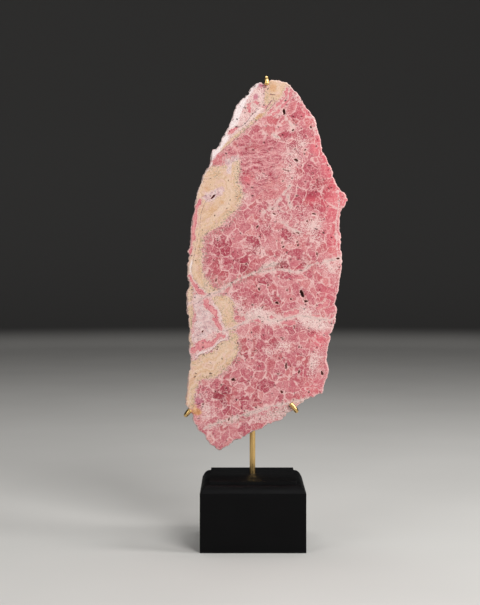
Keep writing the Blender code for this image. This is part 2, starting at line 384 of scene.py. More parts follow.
def add_bead(shell: Shell, centre: Colour, half_sizes: Colour, seed: int) -> Array:
    """Adds a bead of brazing metal: a ball squashed to three half sizes whose radius is made
    uneven by noise, with its poles along Z.

    Args:
        shell: Where the bead goes.
        centre: Its middle.
        half_sizes: Its half sizes along X, Y and Z.
        seed: A whole number that picks the lumps.

    Returns:
        The bead's own place of each point.
    """
    rise = np.linspace(-math.pi / 2, math.pi / 2, 26)[1:-1, None]
    angle = np.linspace(0, 2 * math.pi, 36, endpoint=False)[None]
    ball = np.stack(
        np.broadcast_arrays(np.cos(rise) * np.cos(angle), np.cos(rise) * np.sin(angle), np.sin(rise)),
        axis=-1,
    )
    ball = np.vstack([ball.reshape(-1, 3), [[0, 0, -1], [0, 0, 1]]])
    ball = ball * (1 + 0.09 * layered_noise(ball * 1.7 + seed, 2, seed))[:, None]
    first = shell.add(np.array(centre) + ball * np.array(half_sizes))
    shell.join(grid_faces(24, 36, first, round_columns=True))
    ring = np.arange(36)
    shell.join(fan_faces(first + ring, first + 24 * 36), turned=True)
    shell.join(fan_faces(first + 23 * 36 + ring, first + 24 * 36 + 1))
    return ball * np.array(half_sizes)


def store_vectors(mesh: bpy.types.Mesh, name: str, values: Array) -> None:
    """Stores one vector a point as an attribute of the mesh."""
    layer = mesh.attributes.new(name, "FLOAT_VECTOR", "POINT")
    layer.data.foreach_set("vector", values.astype(np.float32).ravel())


@dataclass
class Armature:
    """The quarter inch post and its three hooked arms of three-sixteenths rod."""

    slab_front: float = -8.075
    slab_back: float = 6.925
    post_radius: float = 3.175
    post_y: float = 10.4
    post_foot: float = 37.3
    post_top: float = 268.0
    arm_radius: float = 2.38
    clearance: float = 0.4
    bend: float = 3.8
    yoke_z: float = 222.0
    lap_x: float = 5.855
    lap_foot: float = 232.0
    lap_head: float = 262.0

    def post(self, finish: bpy.types.Material) -> bpy.types.Object:
        """The upright rod: its path is the vertical from its hole in the plinth to its cut top."""
        shell = Shell()
        path = np.array([[0, self.post_y, self.post_foot], [0, self.post_y, self.post_top]])
        own = Rod(self.post_radius, 0.5, 56).sweep(shell, path, np.array([1.0, 0, 0]))
        made = shell.piece("post_rod", [finish], 50)
        store_vectors(made.data, "rod_place", own)
        return seat(made, Slot.BRASS, "post")

    def hook(
        self,
        rim: tuple[float, float],
        outward: tuple[float, float],
        grip: float,
        reach: tuple[float, float],
    ) -> Array:
        """Corners of a hook round the slice's edge.

        Args:
            rim: (x, z) where it crosses the edge.
            outward: (x, z) direction away from the slice.
            grip: How far the tip lies inside the edge.
            reach: How far the rod's middle stands outside the edge in front and behind.

        Returns:
            The tip on the polished face and the two bends outside the edge.
        """
        away = np.array(outward) / np.linalg.norm(outward)
        flat = np.array(rim) + np.array([[-grip], [reach[0]], [reach[1]]]) * away
        front = self.slab_front - self.clearance - self.arm_radius
        back = self.slab_back + self.clearance + self.arm_radius
        return np.stack([flat[:, 0], [front, front, back], flat[:, 1]], axis=1)

    def arm(
        self,
        name: str,
        node: str,
        corners: Array,
        beads: list[tuple[Colour, Colour]],
        finish: bpy.types.Material,
    ) -> bpy.types.Object:
        """A hooked arm running along its rounded corners, with its beads of brazing.

        Args:
            name: The piece's name.
            node: The solid it stands for.
            corners: Its corners from the tip to the post.
            beads: Middle and half sizes of each bead.
            finish: Its brass.

        Returns:
            The piece.
        """
        shell = Shell()
        outward = corners[1] - corners[0]
        across = np.cross(outward / np.linalg.norm(outward), [0, 1.0, 0])
        own = [Rod(self.arm_radius, 0.5).sweep(shell, rounded_path(corners, self.bend), across)]
        own += [add_bead(shell, centre, sizes, 11 + k) for k, (centre, sizes) in enumerate(beads)]
        made = shell.piece(name, [finish], 50)
        store_vectors(made.data, "rod_place", np.vstack(own))
        return seat(made, Slot.BRASS, node)

    def build(self, finish: bpy.types.Material) -> list[bpy.types.Object]:
        """Builds the post, the two lower arms that meet on it and the long top arm."""
        back = self.slab_back + self.clearance + self.arm_radius
        meeting = np.array([[0, back, self.yoke_z]])
        left = np.vstack([self.hook((-70.4, 146.1), (-0.66, -0.75), 2.8, (6.1, 3.2)), meeting])
        right = np.vstack([self.hook((46.8, 149.0), (0.585, -0.811), 8.0, (3.1, 3.1)), meeting])
        lap = np.array([[self.lap_x, back, self.lap_head], [self.lap_x, back, self.lap_foot]])
        top = np.vstack([self.hook((15.4, 512.4), (0.04, 1.0), 4.4, (3.8, 3.5)), lap])
        bead = (3.8, 2.7, 3.8)
        bead_z = self.yoke_z - 4
        seam_z = (self.lap_head + self.lap_foot) / 2
        seam = ((self.lap_x - self.arm_radius, back + 2.2, seam_z), (1.8, 1.4, 13.0))
        return [
            self.post(finish),
            self.arm("left_hook_arm", "left_arm", left, [((-4.3, back + 0.6, bead_z), bead)], finish),
            self.arm("right_hook_arm", "right_arm", right, [((4.3, back + 0.6, bead_z), bead)], finish),
            self.arm("top_hook_arm", "top_arm", top, [seam], finish),
        ]


# --- plinth -------------------------------------------------------------------------------


@dataclass
class Plinth:
    """The square black block with a raised plateau and a moulded edge."""

    half: float = 57.2
    height: float = 75.0
    plateau_half: float = 47.1
    fillet_drop: float = 3.2
    quirk: float = 0.8
    ovolo: float = 7.9
    hole_radius: float = 3.475
    hole_depth: float = 38.0
    hole_y: float = 10.4
    side_points: int = 72

    def ring(self, half: float, corner: float, z: float) -> Array:
        """A level square ring with rounded corners, counter-clockwise from above: each side is a
        straight run then a quarter arc, and the other sides are quarter turns of the first.

        Args:
            half: Half its width.
            corner: Radius of its corners.
            z: Its height.

        Returns:
            Its (n, 3) points.
        """
        run = half - corner
        straight = np.stack(
            [np.linspace(-run, run, self.side_points), np.full(self.side_points, -half)], axis=1
        )
        turn = np.radians([-67.5, -45, -22.5])
        arc = np.stack([run + corner * np.cos(turn), -run + corner * np.sin(turn)], axis=1)
        side = np.vstack([straight, arc])
        sides = [side, side[:, ::-1] * [-1, 1], -side, side[:, ::-1] * [1, -1]]
        flat = np.vstack(sides)
        return np.column_stack([flat, np.full(len(flat), z)])

    def profile(self) -> Array:
        """Half width, corner radius and height from the plateau's edge down to the underside:
        eased arris, fillet, quirk, part round, arris, side and eased base. The round goes out as
        the sine of a turn from 0 to 56 degrees and down as one less its cosine."""
        ease = 0.35
        top = self.height - self.fillet_drop
        foot = top - self.ovolo
        start = self.plateau_half + self.quirk
        turn = np.radians(np.linspace(0, 56, 19))
        wide = (self.half - 0.5 - start) / math.sin(turn[-1])
        deep = self.ovolo / (1 - math.cos(turn[-1]))
        arris = np.radians(np.linspace(0, 90, 5))
        rows = [
            (self.plateau_half - ease + ease * np.sin(arris), 0.4, self.height - ease + ease * np.cos(arris)),
            (np.array([self.plateau_half, self.plateau_half + 0.05]), 0.4, np.array([top + 0.15, top])),
            (start + wide * np.sin(turn), 0.6, top - deep * (1 - np.cos(turn))),
            (self.half - ease + ease * np.sin(arris), 0.6, foot - 0.05 - ease + ease * np.cos(arris)),
            (np.full(9, self.half), 0.6, np.linspace(foot - 3, 3, 9)),
            (self.half - ease + ease * np.cos(arris), 0.6, ease - ease * np.sin(arris)),
        ]
        return np.vstack([np.column_stack([h, np.full(len(h), c), z]) for h, c, z in rows])

    def build(self, finish: bpy.types.Material) -> bpy.types.Object:
        """Builds the block as rings from the bottom of the post's hole, over the plateau and
        down the moulded side, to the middle of the underside."""
        edge = self.ring(self.plateau_half - 0.35, 0.2, self.height)
        middle = np.array([0, self.hole_y, self.height])
        outward = edge - middle
        reach = np.linalg.norm(outward, axis=1, keepdims=True)
        hole = middle + outward / reach * self.hole_radius
        rings = [hole - [0, 0, drop] for drop in (self.hole_depth, self.hole_depth / 2, 2.0, 0.25)]
        rings += [
            middle + outward / reach * (self.hole_radius + (reach - self.hole_radius) * share)
            for share in (0.008, 0.1, 0.3, 0.55, 0.8)
        ]
        rings += [self.ring(half, corner, z) for half, corner, z in self.profile()]
        rings += [self.ring(self.half * share, 0.5, 0) for share in (0.7, 0.35)]
        points = np.stack(rings)
        uneven = layered_noise(points / 9, 3, 3)[..., None] * 0.07
        points = points - uneven * (points - [0, 0, 40]) / 60
        points[..., 2] = np.clip(points[..., 2], 0, self.height)
        shell = Shell()
        shell.add(points)
        rows, columns = points.shape[:2]
        shell.join(grid_faces(rows, columns, 0, round_columns=True), turned=True)
        ends = shell.add(np.array([[0, self.hole_y, self.height - self.hole_depth], [0, 0, 0]]))
        ring = np.arange(columns)
        shell.join(fan_faces(ring, ends))
        shell.join(fan_faces((rows - 1) * columns + ring, ends + 1), turned=True)
        return seat(shell.piece("moulded_plinth", [finish], 40), Slot.WOOD, "plinth")


# --- slice --------------------------------------------------------------------------------

SQUARE = 1.1097
AXIS_COLUMN = 252.616
TABLE_ROW = 543.1


def surveyed(*squares: tuple[float, float]) -> Array:
    """Places on the slice in millimetres from a survey in squares of 1.1097 mm: columns count
    to the right with the post's middle at 252.616, and rows count down to the table at 543.1."""
    places = np.array(squares, dtype=float)
    return np.stack([(places[:, 0] - AXIS_COLUMN) * SQUARE, (TABLE_ROW - places[:, 1]) * SQUARE], axis=1)


class Tint(Enum):
    """What a painted feature adds to, each with its place in the slice's attributes."""

    CREAM = ("bands", 0)
    RIBBON = ("bands", 1)
    VEIN = ("bands", 2)
    CRACK = ("marks", 0)
    PIT = ("marks", 1)
    LAVENDER = ("marks", 2)
    PALE = ("tints", 0)
    DEEP = ("tints", 1)
    OCHRE = ("tints", 2)
    STREAK = ("zones", 0)
    CORAL = ("zones", 1)
    GREY = ("zones", 2)
    WHITE = ("rims", 0)
    MAUVE = ("rims", 1)


@dataclass(frozen=True)
class Line:
    """A vein, ribbon, crack or painted highlight that follows a surveyed path, with its width in millimetres
    at the start and the end."""

    tint: Tint
    path: tuple[tuple[float, float], ...]
    widths: tuple[float, float]


@dataclass(frozen=True)
class Patch:
    """A soft patch: a surveyed middle, half width and half height in squares, lean in degrees
    from the vertical towards the right, and its strength."""

    tint: Tint
    centre: tuple[float, float]
    half: tuple[float, float]
    lean: float = 0.0
    strength: float = 1.0


@dataclass(frozen=True)
class Area:
    """A zone with a firm, ragged border, as a surveyed closed ring."""

    tint: Tint
    ring: tuple[tuple[float, float], ...]


@dataclass(frozen=True)
class Pit:
    """An open pit: surveyed middle, width and height in squares, lean in degrees from the
    vertical towards the right, and depth in millimetres."""

    centre: tuple[float, float]
    size: tuple[float, float]
    lean: float = 0.0
    depth: float = 1.2


AREAS = (
    Area(
        Tint.CREAM,
        (
            (180, 168), (206, 167), (212, 166), (222, 165), (230, 159), (238, 159), (239, 172),
            (238.5, 183), (243, 191), (242, 200), (238.5, 208), (227.5, 217), (220, 225.5), (211, 231),
            (205, 236), (202.5, 246), (202, 262), (203, 274), (208, 282), (214, 287), (220, 291),
            (214, 295), (204, 293), (194, 285), (180, 285),
        ),
    ),
    Area(
        Tint.CREAM,
        (
            (180, 362), (195, 361), (200, 355.5), (208.5, 353), (215, 348), (221, 342), (228.5, 339),
            (229, 334), (236, 334), (238, 345), (236.5, 355), (230, 364), (222, 372), (215, 378),
            (203, 379), (198, 385), (194, 396), (192.5, 408), (180, 408),
        ),
    ),
    Area(
        Tint.CREAM,
        (
            (268, 82), (273, 76), (284, 76), (291, 84), (287, 88), (286, 92), (284, 96), (278, 100.5),
            (272, 99.5), (269, 101.5), (267.5, 105), (264.5, 105), (264, 98), (265, 90),
        ),
    ),
    Area(
        Tint.CREAM,
        (
            (212, 297), (219, 296), (226, 297), (232, 302), (234, 313), (235, 320), (238.5, 325),
            (234, 331), (227, 330), (223, 322), (221, 312), (217, 306),
        ),
    ),
    Area(
        Tint.LAVENDER,
        (
            (195, 292), (203, 298), (206, 303), (210, 310), (215, 317), (215, 324), (219, 330), (212, 333),
            (203, 339), (192, 342), (193, 330), (196, 318), (194, 304),
        ),
    ),
    Area(
        Tint.PALE,
        ((180, 335), (200, 328), (222, 328), (231, 334), (229, 340), (216, 350), (200, 358), (180, 364)),
    ),
    Area(
        Tint.PALE,
        (
            (180, 277), (188, 278), (204, 290), (214, 290), (222, 296), (220, 306), (228, 330), (216, 332),
            (210, 312), (203, 300), (180, 300),
        ),
    ),
    Area(
        Tint.LAVENDER,
        ((224, 161), (228, 158), (236, 156), (238, 158), (234, 163), (231, 171), (228, 173), (227, 166)),
    ),
    Area(Tint.LAVENDER, ((202, 197), (210, 192), (219, 187.5), (225, 189.5), (218, 197), (208, 202.5))),
    Area(
        Tint.PALE,
        ((247, 112), (256, 111), (261, 109), (254, 118), (246, 126), (236, 133), (230, 136), (238, 116)),
    ),
)

LINES = (
    # the folded top
    # white band along the upper left edge, partly the stone's white banding and partly painted highlight
    Line(
        Tint.WHITE,
        (
            (258, 80), (250, 87.5), (244, 97), (238.7, 109), (233.4, 122), (227, 134), (219, 147),
            (211.5, 157),
        ),
        (12.0, 7.0),
    ),
    Line(Tint.PALE, ((262, 110), (252, 119), (240, 130), (228, 141), (218, 149)), (6.0, 5.0)),
    Line(Tint.PALE, ((289, 89), (288, 97), (283, 103), (276, 109.5), (269, 116)), (2.0, 2.0)),
    Line(Tint.RIBBON, ((258, 104), (254, 102), (250, 103.5), (248.5, 107), (249.5, 111)), (1.8, 4.2)),
    Line(Tint.CRACK, ((250.6, 101.5), (248.3, 105), (249.2, 109.5)), (0.5, 0.5)),
    Line(
        Tint.CREAM,
        (
            (274, 102), (270, 107), (264, 113.5), (259, 117), (254, 121), (245, 128.8), (236, 136),
            (227.5, 143.8), (220, 150),
        ),
        (2.4, 2.8),
    ),
    Line(Tint.CRACK, ((259, 119), (252, 124.5), (240, 134.8), (229, 144.5), (221, 151)), (0.4, 0.4)),
    Line(
        Tint.CRACK,
        (
            (266, 109), (269.4, 103.5), (272.5, 100.4), (274.6, 100.8), (274.4, 103.5), (270, 108),
            (265, 113),
        ),
        (0.9, 0.5),
    ),
    Line(
        Tint.CRACK,
        ((259, 109), (256, 111), (251, 116), (247.5, 121), (242.5, 125.6), (236, 128)),
        (0.6, 0.8),
    ),
    Line(Tint.CRACK, ((270.5, 94.3), (275, 94.8)), (1.5, 1.0)),
    Line(Tint.RIBBON, ((286.9, 89), (285.5, 96), (280.5, 102.5), (273.5, 108.8), (269, 113)), (2.8, 3.2)),
    Line(Tint.RIBBON, ((291, 90), (290, 97.5), (285, 104), (279, 110), (273, 115)), (2.8, 3.8)),
    Line(Tint.RIBBON, ((229.5, 132.5), (232.5, 131), (236, 129)), (4.6, 2.6)),
    Line(Tint.VEIN, ((283, 112), (287, 118), (291, 125), (293, 131)), (0.8, 0.6)),
    Line(Tint.VEIN, ((264, 133.5), (273, 135), (282, 140)), (1.0, 0.9)),
    # the banded left edge
    # painted highlight: a thin white line along the left rim
    Line(
        Tint.WHITE, ((212, 163), (204, 176), (198, 190), (194.5, 204), (192, 220), (190.5, 235)), (1.6, 1.6)
    ),
    Line(Tint.RIBBON, ((200.5, 200.5), (197.4, 206), (195.2, 214)), (1.8, 5.6)),
    Line(Tint.RIBBON, ((195.2, 214), (194, 225), (192.6, 237), (190.8, 248), (189.4, 254)), (5.6, 4.2)),
    Line(
        Tint.CRACK,
        (
            (221, 191), (213, 197), (206, 201), (203, 208), (200.8, 215), (199.9, 228), (197.5, 240),
            (194.5, 254), (193, 262), (191.8, 270), (193.5, 278), (198, 285), (204, 290.5), (209, 294),
        ),
        (0.5, 0.7),
    ),
    Line(Tint.CRACK, ((202, 196.5), (210, 194), (218, 189)), (0.4, 0.3)),
    Line(Tint.CRACK, ((209, 203), (216, 199), (224, 193)), (0.4, 0.3)),
    Line(Tint.CRACK, ((203, 214), (202.4, 226), (200.5, 240), (198, 254)), (0.3, 0.3)),
    Line(Tint.WHITE, ((192, 260), (190.5, 270), (193.5, 280), (199, 287), (206, 292.5)), (2.0, 2.6)),
    Line(Tint.RIBBON, ((189.5, 276), (194, 284.7), (199.5, 292)), (3.4, 6.2)),
    Line(Tint.RIBBON, ((199.5, 292), (205.5, 294.6)), (5.6, 2.4)),
    Line(Tint.CREAM, ((190.5, 288), (189.5, 298), (190, 312)), (6.5, 6.5)),
    Line(Tint.CREAM, ((190, 316), (189, 330), (191, 346)), (5.5, 5.0)),
    Line(
        Tint.RIBBON,
        (
            (205.6, 299.2), (207.2, 305), (212, 309.6), (215.2, 314), (216, 321), (219.5, 326.5),
            (222, 331.5),
        ),
        (6.8, 3.6),
    ),
    Line(
        Tint.WHITE,
        ((210, 301), (214, 305.5), (218.5, 311), (220.5, 317), (221.2, 323), (224, 329)),
        (1.8, 2.0),
    ),
    Line(Tint.CRACK, ((213, 300), (217, 304), (221.5, 311), (223, 318), (224, 326)), (0.4, 0.4)),
    Line(Tint.RIBBON, ((192.5, 352), (197, 347.8), (203, 344.2)), (4.5, 10.5)),
    Line(Tint.RIBBON, ((203, 345), (208.5, 345.2), (212, 342.8)), (8.0, 5.0)),
    Line(Tint.RIBBON, ((211.5, 343.5), (216, 339), (219.4, 335.4), (223.4, 336.6)), (5.4, 5.0)),
    Line(
        Tint.WHITE,
        ((195, 357), (200, 352.8), (208, 350.5), (214.5, 345.5), (220, 340.5), (226, 338.5), (226.8, 334)),
        (2.2, 2.2),
    ),
    Line(
        Tint.CRACK,
        (
            (195, 360), (199.7, 355), (208.5, 352.7), (215, 347.3), (220.8, 341.5), (228, 339.5),
            (227.8, 335.5),
        ),
        (0.6, 0.6),
    ),
    Line(
        Tint.CRACK,
        (
            (189.7, 338.5), (197.4, 336.2), (204, 332), (213, 329), (224, 331), (232, 328.5), (240.8, 325),
            (246, 323),
        ),
        (0.7, 0.6),
    ),
    Line(Tint.CRACK, ((193, 305), (199, 302), (205, 297.5), (209.7, 294)), (0.6, 0.6)),
    Line(Tint.CRACK, ((196, 312), (200, 322), (207, 330)), (0.4, 0.4)),
    Line(Tint.CRACK, ((194, 322), (203, 325.5), (211, 327)), (0.4, 0.4)),
    # rose fragments afloat in the pale vein
    Line(Tint.RIBBON, ((237.5, 317.5), (243, 318.5)), (6.0, 5.0)),
    Line(Tint.RIBBON, ((251, 320), (254, 319), (260, 321.5)), (3.4, 4.6)),
    Line(Tint.RIBBON, ((270, 317), (275, 317)), (3.0, 2.4)),
    Line(Tint.RIBBON, ((284, 322.5), (294, 323)), (5.5, 4.5)),
    Line(Tint.RIBBON, ((287, 315), (296, 312)), (7.0, 6.0)),
    Line(Tint.RIBBON, ((313, 316), (319, 316)), (4.0, 3.6)),
    Line(Tint.RIBBON, ((318, 308.5), (326, 303)), (4.4, 5.5)),
    Line(Tint.RIBBON, ((329, 321), (332, 316)), (5.5, 5.5)),
    # the veins that cross the whole slab
    Line(
        Tint.VEIN,
        ((188, 304), (205, 297), (220, 291), (230, 284), (247, 276), (258, 271), (276, 263)),
        (2.2, 2.0),
    ),
    Line(Tint.VEIN, ((258, 272), (280, 270), (300, 272), (310, 265), (322, 262), (343, 258)), (1.2, 2.0)),
    Line(
        Tint.VEIN,
        ((203, 429), (220, 422), (240, 416), (255, 412), (270, 407), (292, 402), (322, 398)),
        (1.6, 3.0),
    ),
    Line(
        Tint.VEIN,
        ((222, 331), (240, 325), (258, 317), (274, 321), (300, 316), (326, 320), (340, 316)),
        (1.2, 1.8),
    ),
    Line(Tint.VEIN, ((262, 214), (274, 205), (284, 193), (290, 186)), (0.9, 1.4)),
    Line(Tint.VEIN, ((271, 206), (280, 210), (292, 215)), (0.8, 0.8)),
    Line(Tint.VEIN, ((288, 196), (290, 208), (291, 219)), (1.2, 0.8)),
    Line(Tint.VEIN, ((282, 222), (296, 231), (308, 234)), (0.9, 0.7)),
    Line(Tint.PALE, ((338, 190), (339, 206), (336, 225), (338, 260)), (2.4, 1.6)),
)

PATCHES = (
    Patch(Tint.PALE, (244, 104), (7, 20), 32, 0.9),
    Patch(Tint.PALE, (262, 98), (5, 10), 0, 0.7),
    Patch(Tint.PALE, (256, 94), (10, 13), 30, 0.9),
    Patch(Tint.PALE, (254, 107), (8, 6), 20, 1.0),
    Patch(Tint.PALE, (279, 115), (8, 3), -30, 0.8),
    Patch(Tint.PALE, (297, 98), (9, 4), 45, 0.8),
    Patch(Tint.PALE, (276, 137), (10, 3), 22, 0.6),
    Patch(Tint.PALE, (296, 130), (9, 10), 0, 0.4),
    Patch(Tint.PALE, (303, 143), (7, 6), 0, 0.8),
    Patch(Tint.PALE, (316, 128), (8, 10), -20, 0.55),
    Patch(Tint.PALE, (291, 152), (10, 8), 0, 0.6),
    Patch(Tint.PALE, (290, 172), (9, 16), -10, 0.75),
    Patch(Tint.PALE, (300, 160), (9, 6), 0, 0.5),
    Patch(Tint.PALE, (243, 158), (10, 5), 0, 0.5),
    Patch(Tint.PALE, (262, 176), (10, 4), 0, 0.6),
    Patch(Tint.PALE, (245, 196), (10, 6), 20, 0.6),
    Patch(Tint.PALE, (275, 215), (14, 7), 10, 0.75),
    Patch(Tint.PALE, (300, 209), (12, 5), 0, 0.55),
    Patch(Tint.PALE, (307, 226), (14, 8), 0, 0.75),
    Patch(Tint.PALE, (261, 252), (8, 6), 0, 0.75),
    Patch(Tint.PALE, (293, 241), (12, 7), 0, 0.5),
    Patch(Tint.PALE, (216, 238), (6, 5), 30, 0.6),
    Patch(Tint.PALE, (275, 263), (14, 5), -25, 0.7),
    Patch(Tint.PALE, (331, 267), (12, 8), 20, 0.9),
    Patch(Tint.PALE, (318, 240), (8, 8), 0, 0.6),
    Patch(Tint.PALE, (230, 300), (8, 8), 0, 0.8),
    Patch(Tint.PALE, (248, 318), (14, 6), -15, 0.8),
    Patch(Tint.PALE, (271, 322), (12, 5), 0, 0.9),
    Patch(Tint.PALE, (311, 320), (16, 9), 0, 0.95),
    Patch(Tint.PALE, (256, 311), (9, 7), 0, 0.9),
    Patch(Tint.PALE, (272, 317), (14, 6), 10, 1.0),
    Patch(Tint.PALE, (303, 311), (9, 8), 0, 0.9),
    Patch(Tint.PALE, (322, 326), (14, 6), 0, 1.0),
    Patch(Tint.PALE, (239, 309), (5, 8), 0, 0.8),
    Patch(Tint.PALE, (200, 396), (9, 5), 0, 0.8),
    Patch(Tint.PALE, (206, 408), (8, 6), 0, 0.9),
    Patch(Tint.PALE, (206, 417), (12, 3), -10, 0.8),
    Patch(Tint.PALE, (248, 247), (7, 5), 0, 0.6),
    Patch(Tint.PALE, (264, 228), (10, 6), 0, 0.5),
    Patch(Tint.PALE, (318, 222), (10, 8), 0, 0.5),
    Patch(Tint.PALE, (284, 346), (9, 5), 0, 1.0),
    Patch(Tint.PALE, (270, 353), (7, 4), 0, 0.7),
    Patch(Tint.PALE, (256, 352), (4, 3), 0, 0.7),
    Patch(Tint.PALE, (312, 368), (5, 18), 5, 0.65),
    Patch(Tint.PALE, (318, 358), (7, 14), 15, 0.6),
    Patch(Tint.PALE, (253, 335), (10, 5), 0, 0.4),
    Patch(Tint.PALE, (286, 411), (20, 6), -24, 0.85),
    Patch(Tint.PALE, (262, 417), (22, 5), -20, 0.6),
    Patch(Tint.PALE, (222, 424), (18, 4), -18, 0.6),
    Patch(Tint.PALE, (270, 386), (14, 4), 20, 0.4),
    Patch(Tint.MAUVE, (261, 85), (3.2, 3), 0, 1.0),
    Patch(Tint.MAUVE, (255.6, 97), (3, 4.2), 12, 1.0),
    Patch(Tint.DEEP, (278, 126), (8, 7), 0, 0.5),
    Patch(Tint.DEEP, (290, 108), (5, 4), 0, 0.5),
    Patch(Tint.DEEP, (260, 146), (16, 4), 0, 0.6),
    Patch(Tint.DEEP, (273, 143), (10, 4), 0, 0.5),
    Patch(Tint.DEEP, (247, 178), (8, 7), 0, 1.0),
    Patch(Tint.DEEP, (273, 177), (7, 5), 0, 0.8),
    Patch(Tint.DEEP, (272, 205), (9, 6), 0, 0.7),
    Patch(Tint.DEEP, (313, 200), (9, 6), 30, 1.3),
    Patch(Tint.DEEP, (316, 182), (18, 20), 0, 0.75),
    Patch(Tint.DEEP, (226, 229), (10, 4), -20, 0.9),
    Patch(Tint.DEEP, (241, 217), (5, 6), 0, 0.6),
    Patch(Tint.DEEP, (224, 257), (16, 12), 0, 0.65),
    Patch(Tint.DEEP, (262, 240), (10, 14), 30, 0.45),
    Patch(Tint.DEEP, (275, 258), (12, 9), 0, 0.5),
    Patch(Tint.DEEP, (292, 236), (8, 8), 0, 0.55),
    Patch(Tint.DEEP, (241, 268), (12, 6), 0, 0.7),
    Patch(Tint.DEEP, (289, 266), (6, 6), 0, 0.8),
    Patch(Tint.DEEP, (305, 264), (6, 6), 0, 0.8),
    Patch(Tint.DEEP, (317, 263), (7, 5), 0, 0.7),
    Patch(Tint.DEEP, (260, 296), (20, 12), 0, 0.45),
    Patch(Tint.DEEP, (319, 340), (8, 8), 30, 0.4),
    Patch(Tint.DEEP, (262, 355), (26, 16), 0, 0.45),
    Patch(Tint.DEEP, (222, 397), (24, 16), 0, 0.9),
    Patch(Tint.DEEP, (300, 380), (20, 12), 0, 0.4),
    Patch(Tint.MAUVE, (199, 401), (4.4, 3.4), 20, 1.2),
    Patch(Tint.DEEP, (199, 401), (5, 4), 0, 1.2),
    Patch(Tint.OCHRE, (273, 87.5), (4.5, 6), 0, 1.2),
    Patch(Tint.OCHRE, (266, 99), (2.5, 7), 0, 0.6),
    Patch(Tint.OCHRE, (259.6, 116), (2.2, 4.4), 50, 1.7),
    Patch(Tint.OCHRE, (215, 176), (8, 8), 0, 0.45),
    Patch(Tint.OCHRE, (207, 189), (3.2, 3.4), 0, 1.0),
    Patch(Tint.OCHRE, (222, 202), (2.4, 2.4), 0, 0.9),
    Patch(Tint.OCHRE, (213, 210), (5, 10), 45, 0.8),
    Patch(Tint.OCHRE, (208.5, 228), (2.6, 4), 30, 0.7),
    Patch(Tint.OCHRE, (199.7, 248), (2, 9), -8, 0.6),
    Patch(Tint.OCHRE, (200, 272), (3, 10), -12, 0.7),
    Patch(Tint.OCHRE, (221.3, 299), (3.5, 2.4), 0, 0.8),
    Patch(Tint.OCHRE, (227, 314), (5, 9), 0, 0.4),
    Patch(Tint.OCHRE, (231, 346), (6, 5), 0, 0.6),
    Patch(Tint.OCHRE, (226.9, 364), (2.6, 2.6), 0, 0.9),
    Patch(Tint.OCHRE, (206, 369), (10, 5), -10, 0.5),
    Patch(Tint.OCHRE, (196.8, 411.8), (5.4, 3.6), 10, 2.0),
    Patch(Tint.OCHRE, (194.5, 405), (3.5, 3), 0, 0.8),
    Patch(Tint.STREAK, (262, 168), (30, 34), 0, 1.0),
    Patch(Tint.STREAK, (222, 147), (18, 10), 0, 0.7),
    Patch(Tint.CORAL, (333, 200), (12, 44), 0, 1.0),
    Patch(Tint.CORAL, (322, 150), (8, 26), -22, 1.0),
    Patch(Tint.CORAL, (306, 112), (8, 16), -35, 0.7),
    Patch(Tint.CORAL, (336, 246), (7, 16), 0, 0.8),
    Patch(Tint.CORAL, (344, 198), (6, 8), 0, 0.8),
    Patch(Tint.CORAL, (248, 179), (6, 6), 0, 1.0),
    Patch(Tint.CORAL, (313, 201), (9, 4.5), 0, 1.0),
    Patch(Tint.CORAL, (340, 190), (5, 14), -20, 0.8),
    Patch(Tint.CORAL, (315, 148), (5, 6), 0, 0.8),
    Patch(Tint.CORAL, (319, 341), (9, 9), 0, 1.2),
    Patch(Tint.CORAL, (300, 272), (8, 6), 0, 0.5),
    Patch(Tint.CORAL, (268, 110), (20, 6), 60, 0.6),
    Patch(Tint.CORAL, (328, 300), (10, 22), 0, 0.6),
    Patch(Tint.CORAL, (312, 388), (14, 14), 0, 0.7),
    Patch(Tint.GREY, (224, 226), (18, 5), -40, 0.8),
    Patch(Tint.GREY, (238, 188), (5, 26), 0, 0.7),
    Patch(Tint.GREY, (205.5, 250), (3.6, 15), 5, 1.3),
    Patch(Tint.GREY, (217, 175), (5, 5), 0, 0.9),
    Patch(Tint.GREY, (212, 280), (8, 10), -30, 0.8),
    Patch(Tint.GREY, (238, 280), (22, 5), -26, 0.8),
    Patch(Tint.GREY, (272, 267), (16, 5), -20, 0.7),
    Patch(Tint.GREY, (227, 158), (8, 6), 0, 0.5),
    Patch(Tint.GREY, (238, 350), (5, 16), 0, 0.7),
    Patch(Tint.GREY, (222, 374), (13, 5), -32, 0.6),
    Patch(Tint.GREY, (232, 420), (28, 5), -15, 0.7),
    Patch(Tint.GREY, (292, 408), (28, 6), -20, 0.9),
    Patch(Tint.GREY, (246, 314), (14, 8), 0, 0.5),
)

